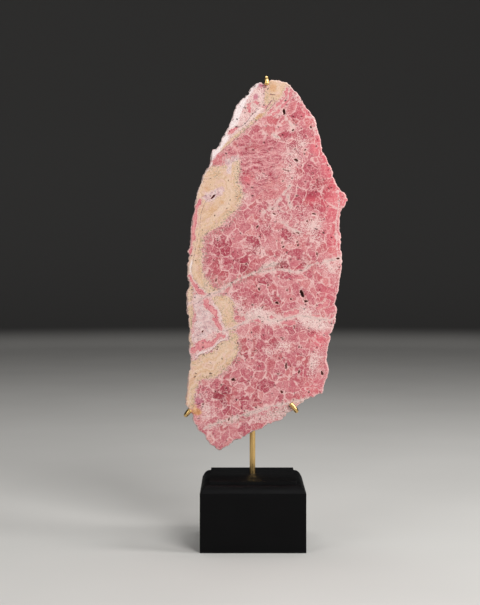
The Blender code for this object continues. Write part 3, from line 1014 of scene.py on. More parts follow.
PITS = (
    Pit((283.9, 111.2), (2.2, 5.6), -8, 2.6), Pit((296, 160), (4.2, 2.0), 10, 1.6),
    Pit((305, 150), (2.8, 1.6), -30, 1.2), Pit((311, 127), (1.8, 1.6)), Pit((293, 130), (1.6, 1.6)),
    Pit((266, 126), (1.2, 1.2)), Pit((250, 141), (1.0, 1.0)), Pit((295, 149), (1.8, 1.8)),
    Pit((285, 170), (3.4, 1.2), 20), Pit((288, 171), (2.2, 1.4), -15), Pit((292, 178), (1.8, 1.8)),
    Pit((283, 181), (1.4, 1.4)), Pit((213, 197), (1.6, 4.6), 52, 2.0), Pit((296, 196), (1.8, 1.8)),
    Pit((274, 214), (3.0, 1.2), 20), Pit((272, 209), (2.6, 1.0), 20), Pit((314, 214), (4.0, 1.5), 5, 1.6),
    Pit((307, 221), (1.8, 1.6)), Pit((311.5, 220), (1.8, 2.0)), Pit((253, 215.5), (1.2, 1.2)),
    Pit((257, 227), (1.8, 2.4), 30), Pit((269, 227), (1.2, 1.6)), Pit((298, 233), (3.2, 1.1), 10),
    Pit((277, 241), (1.4, 1.4)), Pit((282, 243), (1.8, 2.0)), Pit((283, 247), (2.0, 1.6)),
    Pit((297, 242), (1.8, 2.4), -20), Pit((298, 245), (1.8, 2.4), -20),
    Pit((317, 254), (1.5, 4.2), -8, 1.6), Pit((338, 258.5), (2.2, 1.4)), Pit((232, 267), (1.3, 1.3)),
    Pit((246, 264), (1.4, 1.2)), Pit((216, 280), (1.0, 3.0)), Pit((268, 285), (1.4, 1.4)),
    Pit((260, 285), (1.2, 1.2)), Pit((259, 289), (1.2, 1.2)), Pit((287, 290), (1.4, 1.4)),
    Pit((302, 294), (2.8, 7.2), -16, 3.5), Pit((305.6, 301.2), (3.6, 2.4), 10, 2.2),
    Pit((279, 296), (1.3, 1.3)), Pit((277, 303), (4.4, 2.2), 14, 2.4), Pit((253, 305), (1.3, 1.3)),
    Pit((262, 308), (1.3, 1.3)), Pit((291, 299), (1.3, 1.3)), Pit((238, 310), (1.2, 1.2)),
    Pit((232.5, 379), (3.6, 1.6), -20), Pit((203, 404), (1.8, 1.8)), Pit((259, 289), (2.4, 2.2), 40, 2.0),
    Pit((294, 326), (1.6, 1.6)), Pit((262, 322), (1.2, 1.2)), Pit((299, 347), (1.6, 1.6)),
    Pit((217, 349.5), (1.6, 1.6)), Pit((202.5, 331.7), (1.8, 1.8)), Pit((196.6, 336.6), (1.2, 1.2)),
    Pit((282, 338), (4.0, 1.2), 10), Pit((286, 366), (1.6, 6.0), 2, 2.2),
    Pit((299, 372), (1.3, 4.4), 8, 2.0), Pit((278, 374), (3.0, 1.1), 8),
    Pit((282, 392), (3.2, 2.0), 12, 1.8), Pit((311, 367), (1.4, 1.4)), Pit((322, 373), (2.6, 3.0)),
    Pit((233, 380), (4.2, 1.5), -10), Pit((221, 385), (1.6, 1.6)), Pit((229, 419), (1.2, 3.2), 10),
    Pit((244, 411), (1.4, 1.4)),
)


# The slice's outline, (x, z) in millimetres, clockwise from the crown as the viewer sees it.
SILHOUETTE = (
    (21.5, 514.8), (30.5, 513.5), (39.5, 510), (46, 503.5), (50.5, 499), (54, 493), (59, 485), (62.5, 481),
    (66, 475.5), (69.2, 470.5), (72, 460.5), (75, 450.5), (77, 439.5), (78, 434), (83, 425.7), (83.7, 423),
    (88.6, 414.6), (89.8, 411.8), (89.2, 407.4), (91, 403), (97, 393), (101, 389.6), (105.3, 382),
    (104.5, 378), (98.6, 369), (97.3, 365), (97, 352), (98.4, 338.6), (97.9, 327.5), (99.5, 312),
    (98, 298.5), (95, 280), (92.3, 268.7), (93.6, 256.5), (91, 243), (88, 233.2), (85.6, 231), (87, 227.6),
    (84.2, 218.7), (83, 207.5), (82.5, 202), (84.8, 192), (82.5, 183), (82, 180), (78.7, 173), (77.6, 166),
    (75.3, 164.8), (68, 162), (59.2, 158.8), (52.6, 153.8), (45.9, 148.3), (38.7, 143.8), (34.8, 138.8),
    (28.2, 135), (19.3, 132.2), (9.3, 126.6), (-0.7, 122.7), (-4, 121.6), (-10.7, 116.6), (-19.5, 113.3),
    (-26.2, 108.3), (-33, 104.4), (-35.6, 102.8), (-39, 103.3), (-43.4, 107.8), (-46.7, 108.3),
    (-51.7, 114.4), (-54.5, 120), (-60.6, 125), (-63.4, 130.5), (-66.2, 137), (-66.4, 141), (-69.5, 146.6),
    (-73.4, 152), (-74.8, 156), (-74.5, 163), (-72.8, 173), (-71.4, 185.4), (-69, 203), (-70.6, 214.3),
    (-70.4, 223), (-71.4, 228.7), (-70.6, 235.4), (-71.1, 247.6), (-73.4, 260), (-73.9, 266.4), (-73, 272),
    (-73.6, 278), (-70.4, 284.5), (-72.6, 296.4), (-71.7, 303), (-72.8, 307.5), (-70.7, 317.5),
    (-71.9, 324.7), (-69.6, 333), (-68.9, 345), (-67, 362), (-65, 368.5), (-63.4, 382), (-60.3, 393),
    (-57.3, 398.5), (-55.3, 408), (-50.6, 416.3), (-47.3, 422), (-47, 427.4), (-44.7, 436.2),
    (-40.6, 438.4), (-35, 447), (-27.9, 460.6), (-22.3, 474), (-18.4, 485), (-10.7, 494.5), (-5.7, 499),
    (-0.7, 506), (5.4, 511), (9.3, 512), (12.6, 511.3), (18.7, 514.3),
)


def relaxed(grid: Array, rounds: int = 120) -> Array:
    """The grid with each inner point moved to the mean of its four neighbours, again and again,
    which keeps its rows and columns from crossing."""
    grid = grid.copy()
    for _ in range(rounds):
        around = grid[:-2, 1:-1] + grid[2:, 1:-1] + grid[1:-1, :-2] + grid[1:-1, 2:]
        grid[1:-1, 1:-1] = around / 4
    return grid


def filled(ring: Array, across: int, down: int) -> Array:
    """A grid of points inside a closed ring by Coons's rule: the mix of the top and bottom
    edges, plus the mix of the left and right edges, less the mix of the four corners.

    Args:
        ring: Points clockwise from the top left corner: across, down, across, down stretches.
        across: Stretches along the top and the bottom.
        down: Stretches along each side.

    Returns:
        The (down + 1, across + 1, 2) points, relaxed.
    """
    top = ring[: across + 1]
    right = ring[across : across + down + 1]
    bottom = ring[across + down : 2 * across + down + 1][::-1]
    left = np.vstack([ring[2 * across + down :], ring[:1]])[::-1]
    u = np.linspace(0, 1, across + 1)[None, :, None]
    v = np.linspace(0, 1, down + 1)[:, None, None]
    mixed = (1 - v) * top[None] + v * bottom[None] + (1 - u) * left[:, None] + u * right[:, None]
    corners = (
        (1 - u) * (1 - v) * top[0]
        + u * (1 - v) * top[-1]
        + (1 - u) * v * bottom[0]
        + u * v * bottom[-1]
    )
    return relaxed(mixed - corners)


@dataclass
class Slice:
    """The slab: a polished face with open pits, a natural lumpy rim and a sawn back."""

    front: float = -8.075
    thickness: float = 15.0
    across: int = 170
    down: int = 380
    shares: tuple[float, ...] = (0.0, 0.018, 0.05, 0.13, 0.28, 0.46, 0.64, 0.8, 0.92, 0.975, 1.0)
    section: tuple[tuple[float, float], ...] = (
        (0.0, -1.1), (0.018, -0.75), (0.05, -0.45), (0.13, -0.2), (0.28, 0), (0.52, 0.1), (0.76, -0.1),
        (0.93, -0.6), (1, -1.3),
    )
    corners: tuple[tuple[float, float], ...] = ((-5.7, 499), (46, 503.5), (77.6, 166), (-43.4, 107.8))

    def outline(self) -> tuple[Array, Array]:
        """The outline as evenly spaced points along its top, right, bottom and left edges, and
        the directions that lead out of the slab: each is the run between the neighbours, (dx,
        dz), turned to (-dz, dx)."""
        curve = spline(np.array(SILHOUETTE, dtype=float), closed=True, steps=24)[:-1]
        starts = [int(np.argmin(np.linalg.norm(curve - corner, axis=1))) for corner in self.corners]
        curve = np.roll(curve, -starts[0], axis=0)
        ends = [(start - starts[0]) % len(curve) for start in starts] + [len(curve)]
        curve = np.vstack([curve, curve[:1]])
        counts = (self.across, self.down, self.across, self.down)
        parts = [
            evenly_spaced(curve[a : b + 1], count + 1, closed=False)[:-1]
            for a, b, count in zip(ends, ends[1:], counts)
        ]
        ring = np.vstack(parts)
        run = np.roll(ring, -3, axis=0) - np.roll(ring, 3, axis=0)
        outward = np.stack([-run[:, 1], run[:, 0]], axis=1)
        return ring, outward / np.linalg.norm(outward, axis=1, keepdims=True)

    def rim(self) -> Array:
        """Rings of the rim from the polished face to the back: the outline moved outwards by the
        rim's section and by lumps that fade towards both faces, and kept to the solids' box."""
        ring, outward = self.outline()
        levels = np.array(self.shares)
        bulge = np.interp(levels, *np.array(self.section).T)[:, None]
        depth = np.broadcast_to((levels * self.thickness)[:, None], (len(levels), len(ring)))
        place = np.stack(
            [np.broadcast_to(ring[:, 0], depth.shape), depth, np.broadcast_to(ring[:, 1], depth.shape)],
            axis=-1,
        )
        fade = np.sin(math.pi * (0.12 + 0.76 * levels))[:, None]
        lumps = 0.9 * layered_noise(place / 7, 3, 21) + 0.5 * layered_noise(place / 2.6, 2, 22)
        through = place * [1, 0.25, 1]
        nicks = 1.6 * layered_noise(through / 3.4, 3, 23) - 0.2
        shift = bulge + np.minimum(lumps * fade + nicks, 0.7)
        flat = ring[None] + outward[None] * shift[..., None]
        left, right = (corner[0] / MM for corner in CAD_BOX)
        return np.stack([np.clip(flat[..., 0], left, right), self.front + depth, flat[..., 1]], axis=-1)

    def pitted(self, places: Array) -> tuple[Array, Array]:
        """How deep the pits are at places on the polished face, and how far each place lies
        inside the nearest pit's border, in millimetres, negative outside.

        A pit is an ellipse, turned by its lean, whose radius is made ragged by noise; r is 1 on
        its border and its depth falls from the middle as 1 - r^3."""
        pits = np.array([(*pit.centre, *pit.size, pit.lean, pit.depth) for pit in PITS])
        centre, half = surveyed(*pits[:, :2]), pits[:, 2:4] * SQUARE / 2
        lean = np.radians(pits[:, 4])
        away = places[:, None, :] - centre[None]
        wide = away[..., 0] * np.cos(lean) - away[..., 1] * np.sin(lean)
        long = away[..., 0] * np.sin(lean) + away[..., 1] * np.cos(lean)
        ragged = layered_noise(np.column_stack([places / 1.7, np.zeros(len(places))]), 2, 31)[:, None]
        r = np.hypot(wide / half[:, 0], long / half[:, 1]) * (1 + 0.65 * ragged)
        depth = np.max(np.where(r < 1, pits[:, 5] * (1 - r**3), 0), axis=1)
        inside = np.max((1 - r) * np.min(half, axis=1), axis=1)
        return depth, np.clip(inside, -6, 6)

    def painted(self, places: Array) -> dict[str, Array]:
        """The amounts that the finishes read at (x, z) places.

        A line or an area gives millimetres inside its border, negative outside, and the most
        wins, or in the tints and zones it adds 0.9 where it lies. A patch gives its strength
        times e^(-r^2), where r is 1 one half size away, and patches add up.

        Returns:
            One (n, 3) array for each attribute.
        """
        kept = {name: np.full((len(places), 3), -6.0) for name in ("bands", "marks")}
        kept |= {name: np.zeros((len(places), 3)) for name in ("tints", "zones", "rims")}
        kept["rims"][:, 0] = -6
        for line in LINES:
            path = evenly_spaced(
                spline(surveyed(*line.path), closed=False), 10 * len(line.path), closed=False
            )
            gaps, along = distance_to_path(places, path)
            width = line.widths[0] + (line.widths[1] - line.widths[0]) * along
            self.put(kept, line.tint, width / 2 - gaps)
        for area in AREAS:
            ring = spline(surveyed(*area.ring), closed=True, steps=5)[:-1]
            self.put(kept, area.tint, depth_inside(places, ring))
        for patch in PATCHES:
            away = (places - surveyed(patch.centre)) / SQUARE
            lean = math.radians(patch.lean)
            wide = away[:, 0] * math.cos(lean) - away[:, 1] * math.sin(lean)
            long = away[:, 0] * math.sin(lean) + away[:, 1] * math.cos(lean)
            r = np.hypot(wide / patch.half[0], long / patch.half[1])
            self.put(kept, patch.tint, patch.strength * np.exp(-(r**2)))
        return kept

    @staticmethod
    def put(kept: dict[str, Array], tint: Tint, amount: Array) -> None:
        """Adds one feature's amount to the attribute column of its tint."""
        name, column = tint.value
        if name in ("bands", "marks") or tint is Tint.WHITE:
            kept[name][:, column] = np.maximum(kept[name][:, column], np.maximum(amount, -6))
        elif np.min(amount) < 0:
            kept[name][:, column] += 0.9 * ease_between(amount, -0.8, 0.8)
        else:
            kept[name][:, column] += amount

    def build(self, finishes: list[bpy.types.Material]) -> bpy.types.Object:
        """Builds the slab: the polished face filled in from the rim's first ring and sunk at
        the pits, the rim, and the back filled in from every other point of the last ring.

        Args:
            finishes: The polished face's, the rim's and the back's.

        Returns:
            The piece.
        """
        rings = self.rim()
        columns, across, down = rings.shape[1], self.across, self.down
        face = filled(rings[0][:, [0, 2]], across, down)
        depth, inside = self.pitted(face.reshape(-1, 2))
        inner = np.zeros(face.shape[:2])
        inner[1:-1, 1:-1] = 1
        sunk = depth.reshape(face.shape[:2]) * inner
        shell = Shell()
        shell.add(np.stack([face[..., 0], self.front + sunk, face[..., 1]], axis=-1))
        shell.join(grid_faces(down + 1, across + 1), 0, turned=True)
        numbers = np.arange((down + 1) * (across + 1)).reshape(down + 1, across + 1)
        border = np.concatenate([numbers[0, :-1], numbers[:-1, -1], numbers[-1, :0:-1], numbers[:0:-1, 0]])
        first = shell.add(rings[1:-1])
        rows = np.vstack([border, first + np.arange((len(rings) - 2) * columns).reshape(-1, columns)])
        rows = np.hstack([rows, rows[:, :1]])
        quads = np.stack([rows[:-1, :-1], rows[:-1, 1:], rows[1:, 1:], rows[1:, :-1]], axis=-1)
        shell.join(quads.reshape(-1, 4), 1)

        back = filled(rings[-1][::2][:, [0, 2]], across // 2, down // 2)
        start = shell.add(
            np.stack(
                [back[..., 0], np.full(back.shape[:2], self.front + self.thickness), back[..., 1]], axis=-1
            ),
        )
        shell.join(grid_faces(down // 2 + 1, across // 2 + 1, start), 2)
        numbers = start + np.arange(back.shape[0] * back.shape[1]).reshape(back.shape[:2])
        coarse = np.concatenate([numbers[0, :-1], numbers[:-1, -1], numbers[-1, :0:-1], numbers[:0:-1, 0]])
        ahead = np.roll(coarse, -1)
        fine = rows[-1, :-1].reshape(-1, 2)
        after = np.roll(fine[:, 0], -1)
        last = [(fine[:, 0], fine[:, 1], coarse), (fine[:, 1], ahead, coarse), (fine[:, 1], after, ahead)]
        shell.join(np.vstack([np.stack(corners, axis=1) for corners in last]), 1)

        made = shell.piece("polished_slice", finishes, 60)
        points = shell.all_points()
        kept = self.painted(points[:, [0, 2]])
        kept["marks"][: len(inside), Tint.PIT.value[1]] = inside
        edge, _ = distance_to_path(face.reshape(-1, 2), np.vstack([rings[0], rings[0][:1]])[:, [0, 2]])
        kept["rims"][: len(inside), 2] = np.clip(edge, 0, 12)
        for name, values in kept.items():
            store_vectors(made.data, name, values)
        return seat(made, Slot.STONE, "rhodochrosite_slice")


# --- finishes -----------------------------------------------------------------------------


def tone(red: float, green: float, blue: float) -> tuple[float, float, float, float]:
    """A colour typed as display values from 0 to 255, as linear light with full opacity."""
    levels = [((v / 255 + 0.055) / 1.055) ** 2.4 if v > 10.3 else v / 255 / 12.92 for v in (red, green, blue)]
    return (*levels, 1.0)


class Wire:
    """A value on its way between nodes. Arithmetic on it adds the node that does the sum."""

    def __init__(self, graph: Graph, socket: bpy.types.NodeSocket) -> None:
        """Starts at an output socket of a graph."""
        self.graph = graph
        self.socket = socket

    def __add__(self, other: object) -> Wire:
        """The sum of this and another value."""
        return self.graph.math("ADD", self, other)

    def __radd__(self, other: object) -> Wire:
        """The sum of a plain value and this."""
        return self.graph.math("ADD", other, self)

    def __sub__(self, other: object) -> Wire:
        """This less another value."""
        return self.graph.math("SUBTRACT", self, other)

    def __rsub__(self, other: object) -> Wire:
        """A plain value less this."""
        return self.graph.math("SUBTRACT", other, self)

    def __mul__(self, other: object) -> Wire:
        """The product of this and another value."""
        return self.graph.math("MULTIPLY", self, other)

    def __rmul__(self, other: object) -> Wire:
        """The product of a plain value and this."""
        return self.graph.math("MULTIPLY", other, self)

    def __abs__(self) -> Wire:
        """This without its sign."""
        return self.graph.math("ABSOLUTE", self)


class Graph:
    """A node tree being wired. Each method adds nodes and returns the wire with the result;
    an argument may be a wire or a plain value."""

    def __init__(self, tree: bpy.types.NodeTree) -> None:
        """Starts on a tree."""
        self.tree = tree

    def add(self, kind: str, **settings: object) -> bpy.types.Node:
        """Adds a node and sets its options."""
        node = self.tree.nodes.new(kind)
        for name, value in settings.items():
            setattr(node, name, value)
        return node

    def feed(self, socket: bpy.types.NodeSocket, value: object) -> None:
        """Links a wire to an input, or sets the input's plain value."""
        if isinstance(value, Wire):
            self.tree.links.new(value.socket, socket)
        else:
            socket.default_value = value

    def outputs(self, node: bpy.types.Node) -> dict[str, Wire]:
        """A node's outputs as wires, by name."""
        return {socket.name: Wire(self, socket) for socket in node.outputs if socket.name}

    def math(self, operation: str, *values: object) -> Wire:
        """One arithmetic step."""
        node = self.add("ShaderNodeMath", operation=operation)
        for socket, value in zip(node.inputs, values):
            self.feed(socket, value)
        return Wire(self, node.outputs[0])

    def vector(self, operation: str, *values: object, scale: object = None) -> Wire:
        """One vector step."""
        node = self.add("ShaderNodeVectorMath", operation=operation)
        for socket, value in zip(node.inputs, values):
            self.feed(socket, value)
        if scale is not None:
            self.feed(node.inputs["Scale"], scale)
        name = "Value" if operation in ("LENGTH", "DISTANCE", "DOT_PRODUCT") else "Vector"
        return Wire(self, node.outputs[name])

    def mix(self, factor: object, one: object, other: object, blend: str = "MIX") -> Wire:
        """Two colours mixed."""
        node = self.add("ShaderNodeMix", data_type="RGBA", blend_type=blend, clamp_factor=True)
        for socket, value in zip((node.inputs[0], node.inputs[6], node.inputs[7]), (factor, one, other)):
            self.feed(socket, value)
        return Wire(self, node.outputs[2])

    def blend(self, factor: object, one: object, other: object) -> Wire:
        """Two numbers mixed."""
        node = self.add("ShaderNodeMix", data_type="FLOAT", clamp_factor=True)
        for socket, value in zip(node.inputs, (factor, None, one, other)):
            if value is not None:
                self.feed(socket, value)
        return Wire(self, node.outputs[0])

    def noise(
        self, place: object, scale: float, detail: float = 2, roughness: float = 0.5, colour: bool = False
    ) -> Wire:
        """A noise texture's value, or its three values as a colour."""
        node = self.add("ShaderNodeTexNoise")
        self.feed(node.inputs["Vector"], place)
        for name, value in (("Scale", scale), ("Detail", detail), ("Roughness", roughness)):
            node.inputs[name].default_value = value
        return Wire(self, node.outputs["Color" if colour else 0])

    def cells(
        self, place: object, scale: float, feature: str, randomness: float = 1, flat: bool = False
    ) -> dict[str, Wire]:
        """A cell texture's outputs, over X and Y alone where flat."""
        node = self.add("ShaderNodeTexVoronoi", feature=feature, voronoi_dimensions="2D" if flat else "3D")
        self.feed(node.inputs["Vector"], place)
        node.inputs["Scale"].default_value = scale
        node.inputs["Randomness"].default_value = randomness
        return self.outputs(node)

    def between(
        self, value: object, low: object, high: object, start: object = 0.0, end: object = 1.0
    ) -> Wire:
        """Smooth step of a value between two levels."""
        node = self.add("ShaderNodeMapRange", interpolation_type="SMOOTHSTEP")
        for socket, given in zip(node.inputs, (value, low, high, start, end)):
            self.feed(socket, given)
        return Wire(self, node.outputs[0])

    def ramp(self, value: object, *stops: tuple[float, tuple[float, float, float, float]]) -> Wire:
        """Colours along a value from 0 to 1."""
        node = self.add("ShaderNodeValToRGB")
        self.feed(node.inputs[0], value)
        band = node.color_ramp.elements
        for place, shade in stops[2:]:
            band.new(place)
        for element, (place, shade) in zip(sorted(band, key=lambda e: e.position), sorted(stops)):
            element.position, element.color = place, shade
        return Wire(self, node.outputs[0])

    def split(self, vector: object) -> list[Wire]:
        """The three parts of a vector."""
        node = self.add("ShaderNodeSeparateXYZ")
        self.feed(node.inputs[0], vector)
        return [Wire(self, socket) for socket in node.outputs]

    def joined(self, x: object, y: object, z: object) -> Wire:
        """A vector from three parts."""
        node = self.add("ShaderNodeCombineXYZ")
        for socket, value in zip(node.inputs, (x, y, z)):
            self.feed(socket, value)
        return Wire(self, node.outputs[0])

    def attribute(self, name: str) -> Wire:
        """One of the mesh's attributes, as a vector."""
        return self.outputs(self.add("ShaderNodeAttribute", attribute_name=name))["Vector"]

    def group(self, tree: bpy.types.NodeTree, **inputs: object) -> dict[str, Wire]:
        """Places a node group and returns its outputs by name."""
        node = self.add("ShaderNodeGroup", node_tree=tree)
        for name, value in inputs.items():
            self.feed(node.inputs[name.replace("_", " ")], value)
        return self.outputs(node)

    def millimetres(self) -> Wire:
        """The piece's own coordinates in millimetres."""
        place = self.outputs(self.add("ShaderNodeTexCoord"))["Object"]
        return self.vector("SCALE", place, scale=1000.0)

    def bump(self, height: object, distance: float, normal: object = None) -> Wire:
        """A normal bent by a height that counts in millimetres."""
        node = self.add("ShaderNodeBump")
        node.inputs["Strength"].default_value = 1.0
        node.inputs["Distance"].default_value = distance * MM
        self.feed(node.inputs["Height"], height)
        if normal is not None:
            self.feed(node.inputs["Normal"], normal)
        return Wire(self, node.outputs[0])


def new_group(name: str, inputs: dict[str, str], outputs: dict[str, str]) -> tuple[Graph, dict, dict]:
    """A node group with named sockets.

    Args:
        name: The group's name.
        inputs: Socket kinds by input name.
        outputs: Socket kinds by output name.

    Returns:
        The group's graph, its inputs as wires and the sockets of its outputs to feed.
    """
    tree = bpy.data.node_groups.new(name, "ShaderNodeTree")
    for direction, sockets in (("INPUT", inputs), ("OUTPUT", outputs)):
        for socket, kind in sockets.items():
            tree.interface.new_socket(socket, in_out=direction, socket_type="NodeSocket" + kind)
    graph = Graph(tree)
    given, made = graph.add("NodeGroupInput"), graph.add("NodeGroupOutput")
    return graph, graph.outputs(given), {socket.name: socket for socket in made.inputs if socket.name}


def new_material(name: str) -> tuple[bpy.types.Material, Graph, bpy.types.Node]:
    """A material with its graph and its Principled shader."""
    made = bpy.data.materials.new(name)
    made.use_nodes = True
    graph = Graph(made.node_tree)
    return made, graph, made.node_tree.nodes["Principled BSDF"]


def wear_group() -> bpy.types.NodeTree:
    """Handling wear shared by the brass and the wood: slow patches of polish and fine marks."""
    graph, given, made = new_group(
        "handling_wear",
        {"Place": "Vector", "Grain": "Float"},
        {"Patches": "Float", "Marks": "Float", "Dust": "Float"},
    )
    patches = graph.noise(given["Place"], 0.045, 3, 0.55)
    graph.feed(made["Patches"], graph.between(patches, 0.38, 0.62))
    fine = graph.noise(graph.vector("SCALE", given["Place"], scale=given["Grain"]), 1.0, 4, 0.6)
    graph.feed(made["Marks"], graph.between(fine, 0.3, 0.7))
    specks = graph.noise(given["Place"], 1.9, 1, 0.5)
    graph.feed(made["Dust"], graph.between(specks, 0.74, 0.8))
    return made["Dust"].node.id_data


def breccia_group() -> bpy.types.NodeTree:
    """The broken and healed rhodochrosite: angular cells of radiating crystals with veins.

    The place is bent by two noises, then cut into cells of three sizes. A cell's own random
    value gives its shade, the distance to the next cell gives the veins, and noise along the
    angle about the cell's middle gives the fans of crystals. Where Streak rises, noise drawn
    out along X takes over from the cells."""
    graph, given, made = new_group(
        "breccia",
        {"Place": "Vector", "Streak": "Float"},
        {"Shade": "Float", "Vein": "Float", "Hue": "Float", "Fleck": "Float", "Web": "Float"},
    )
    place = given["Place"]

    def bent(slow_size: float, slow_reach: float, quick_size: float, quick_reach: float) -> Wire:
        """The place moved by a slow and a quick noise, sizes and reaches in millimetres."""
        slow = graph.vector("SUBTRACT", graph.noise(place, 1 / slow_size, 1, colour=True), (0.5, 0.5, 0.5))
        quick = graph.vector(
            "SUBTRACT", graph.noise(place, 1 / quick_size, 2, 0.65, colour=True), (0.5, 0.5, 0.5)
        )
        moved = graph.vector("ADD", place, graph.vector("SCALE", slow, scale=slow_reach))
        return graph.vector("ADD", moved, graph.vector("SCALE", quick, scale=quick_reach))

    def border(where: object, size: float) -> Wire:
        """Distance in millimetres to the nearest border between cells of a size."""
        return graph.cells(where, 1 / size, "DISTANCE_TO_EDGE")["Distance"] * size

    where = bent(19, 14, 3.4, 3.0)
    nearer = bent(9, 4, 1.8, 1.3)
    big = graph.cells(where, 1 / 12, "F1")
    small = graph.cells(nearer, 1 / 4.4, "F1")
    swell = graph.noise(place, 1 / 6, 3, 0.6)
    width = graph.between(swell, 0.38, 0.68, 0.02, 1.25)
    vein = graph.between(border(where, 12), width * 0.3, width + 0.3, 1.0, 0.0)
    vein = vein * graph.between(graph.noise(place, 1 / 5, 2), 0.34, 0.54, 0.12, 1.0)
    thin = graph.between(border(nearer, 4.4), 0.05, 0.55, 1.0, 0.0)
    thin = thin * graph.between(graph.noise(place, 1 / 5.2, 2), 0.48, 0.62, 0.0, 0.75)
    web = graph.between(border(nearer, 1.9), 0.02, 0.42, 1.0, 0.0)
    dapple = graph.between(graph.noise(place, 1 / 3.4, 2), 0.48, 0.68, 0.0, 0.6)
    vein = graph.math("MAXIMUM", vein, graph.math("MAXIMUM", thin, web * dapple))

    away = graph.split(graph.vector("SUBTRACT", where, big["Position"]))
    angle = graph.math("ARCTAN2", away[2], away[0])
    reach = graph.math("SQRT", away[0] * away[0] + away[2] * away[2])
    own, hue, _ = graph.split(big["Color"])
    fan_place = graph.joined(angle * 4.2, reach * 0.2, own * 40.0)
    fans = graph.noise(fan_place, 1.0, 3, 0.62)
    sub = graph.split(small["Color"])[0]
    shade = own * 0.5 + sub * 0.16
    shade = shade + fans * 0.36

    x, y, z = graph.split(where)
    drawn = graph.joined(x * 0.085, y * 0.12, z * 0.42)
    bands = graph.noise(drawn, 1.0, 4, 0.62)
    ridge = abs(graph.noise(drawn, 1.7, 3, 0.6) - 0.5)
    lines = graph.between(ridge, 0.004, 0.035, 1.0, 0.0) * 0.8
    streaked = graph.between(bands, 0.32, 0.68, 0.05, 0.95)
    amount = graph.between(given["Streak"] + (swell - 0.5) * 0.8, 0.25, 0.75)
    graph.feed(made["Shade"], graph.blend(amount, shade, streaked))
    graph.feed(made["Vein"], graph.blend(amount, vein, graph.math("MAXIMUM", lines, vein * 0.5)))
    graph.feed(made["Hue"], hue)
    graph.feed(made["Fleck"], graph.noise(place, 0.75, 4, 0.72))
    graph.feed(made["Web"], web)
    return made["Vein"].node.id_data


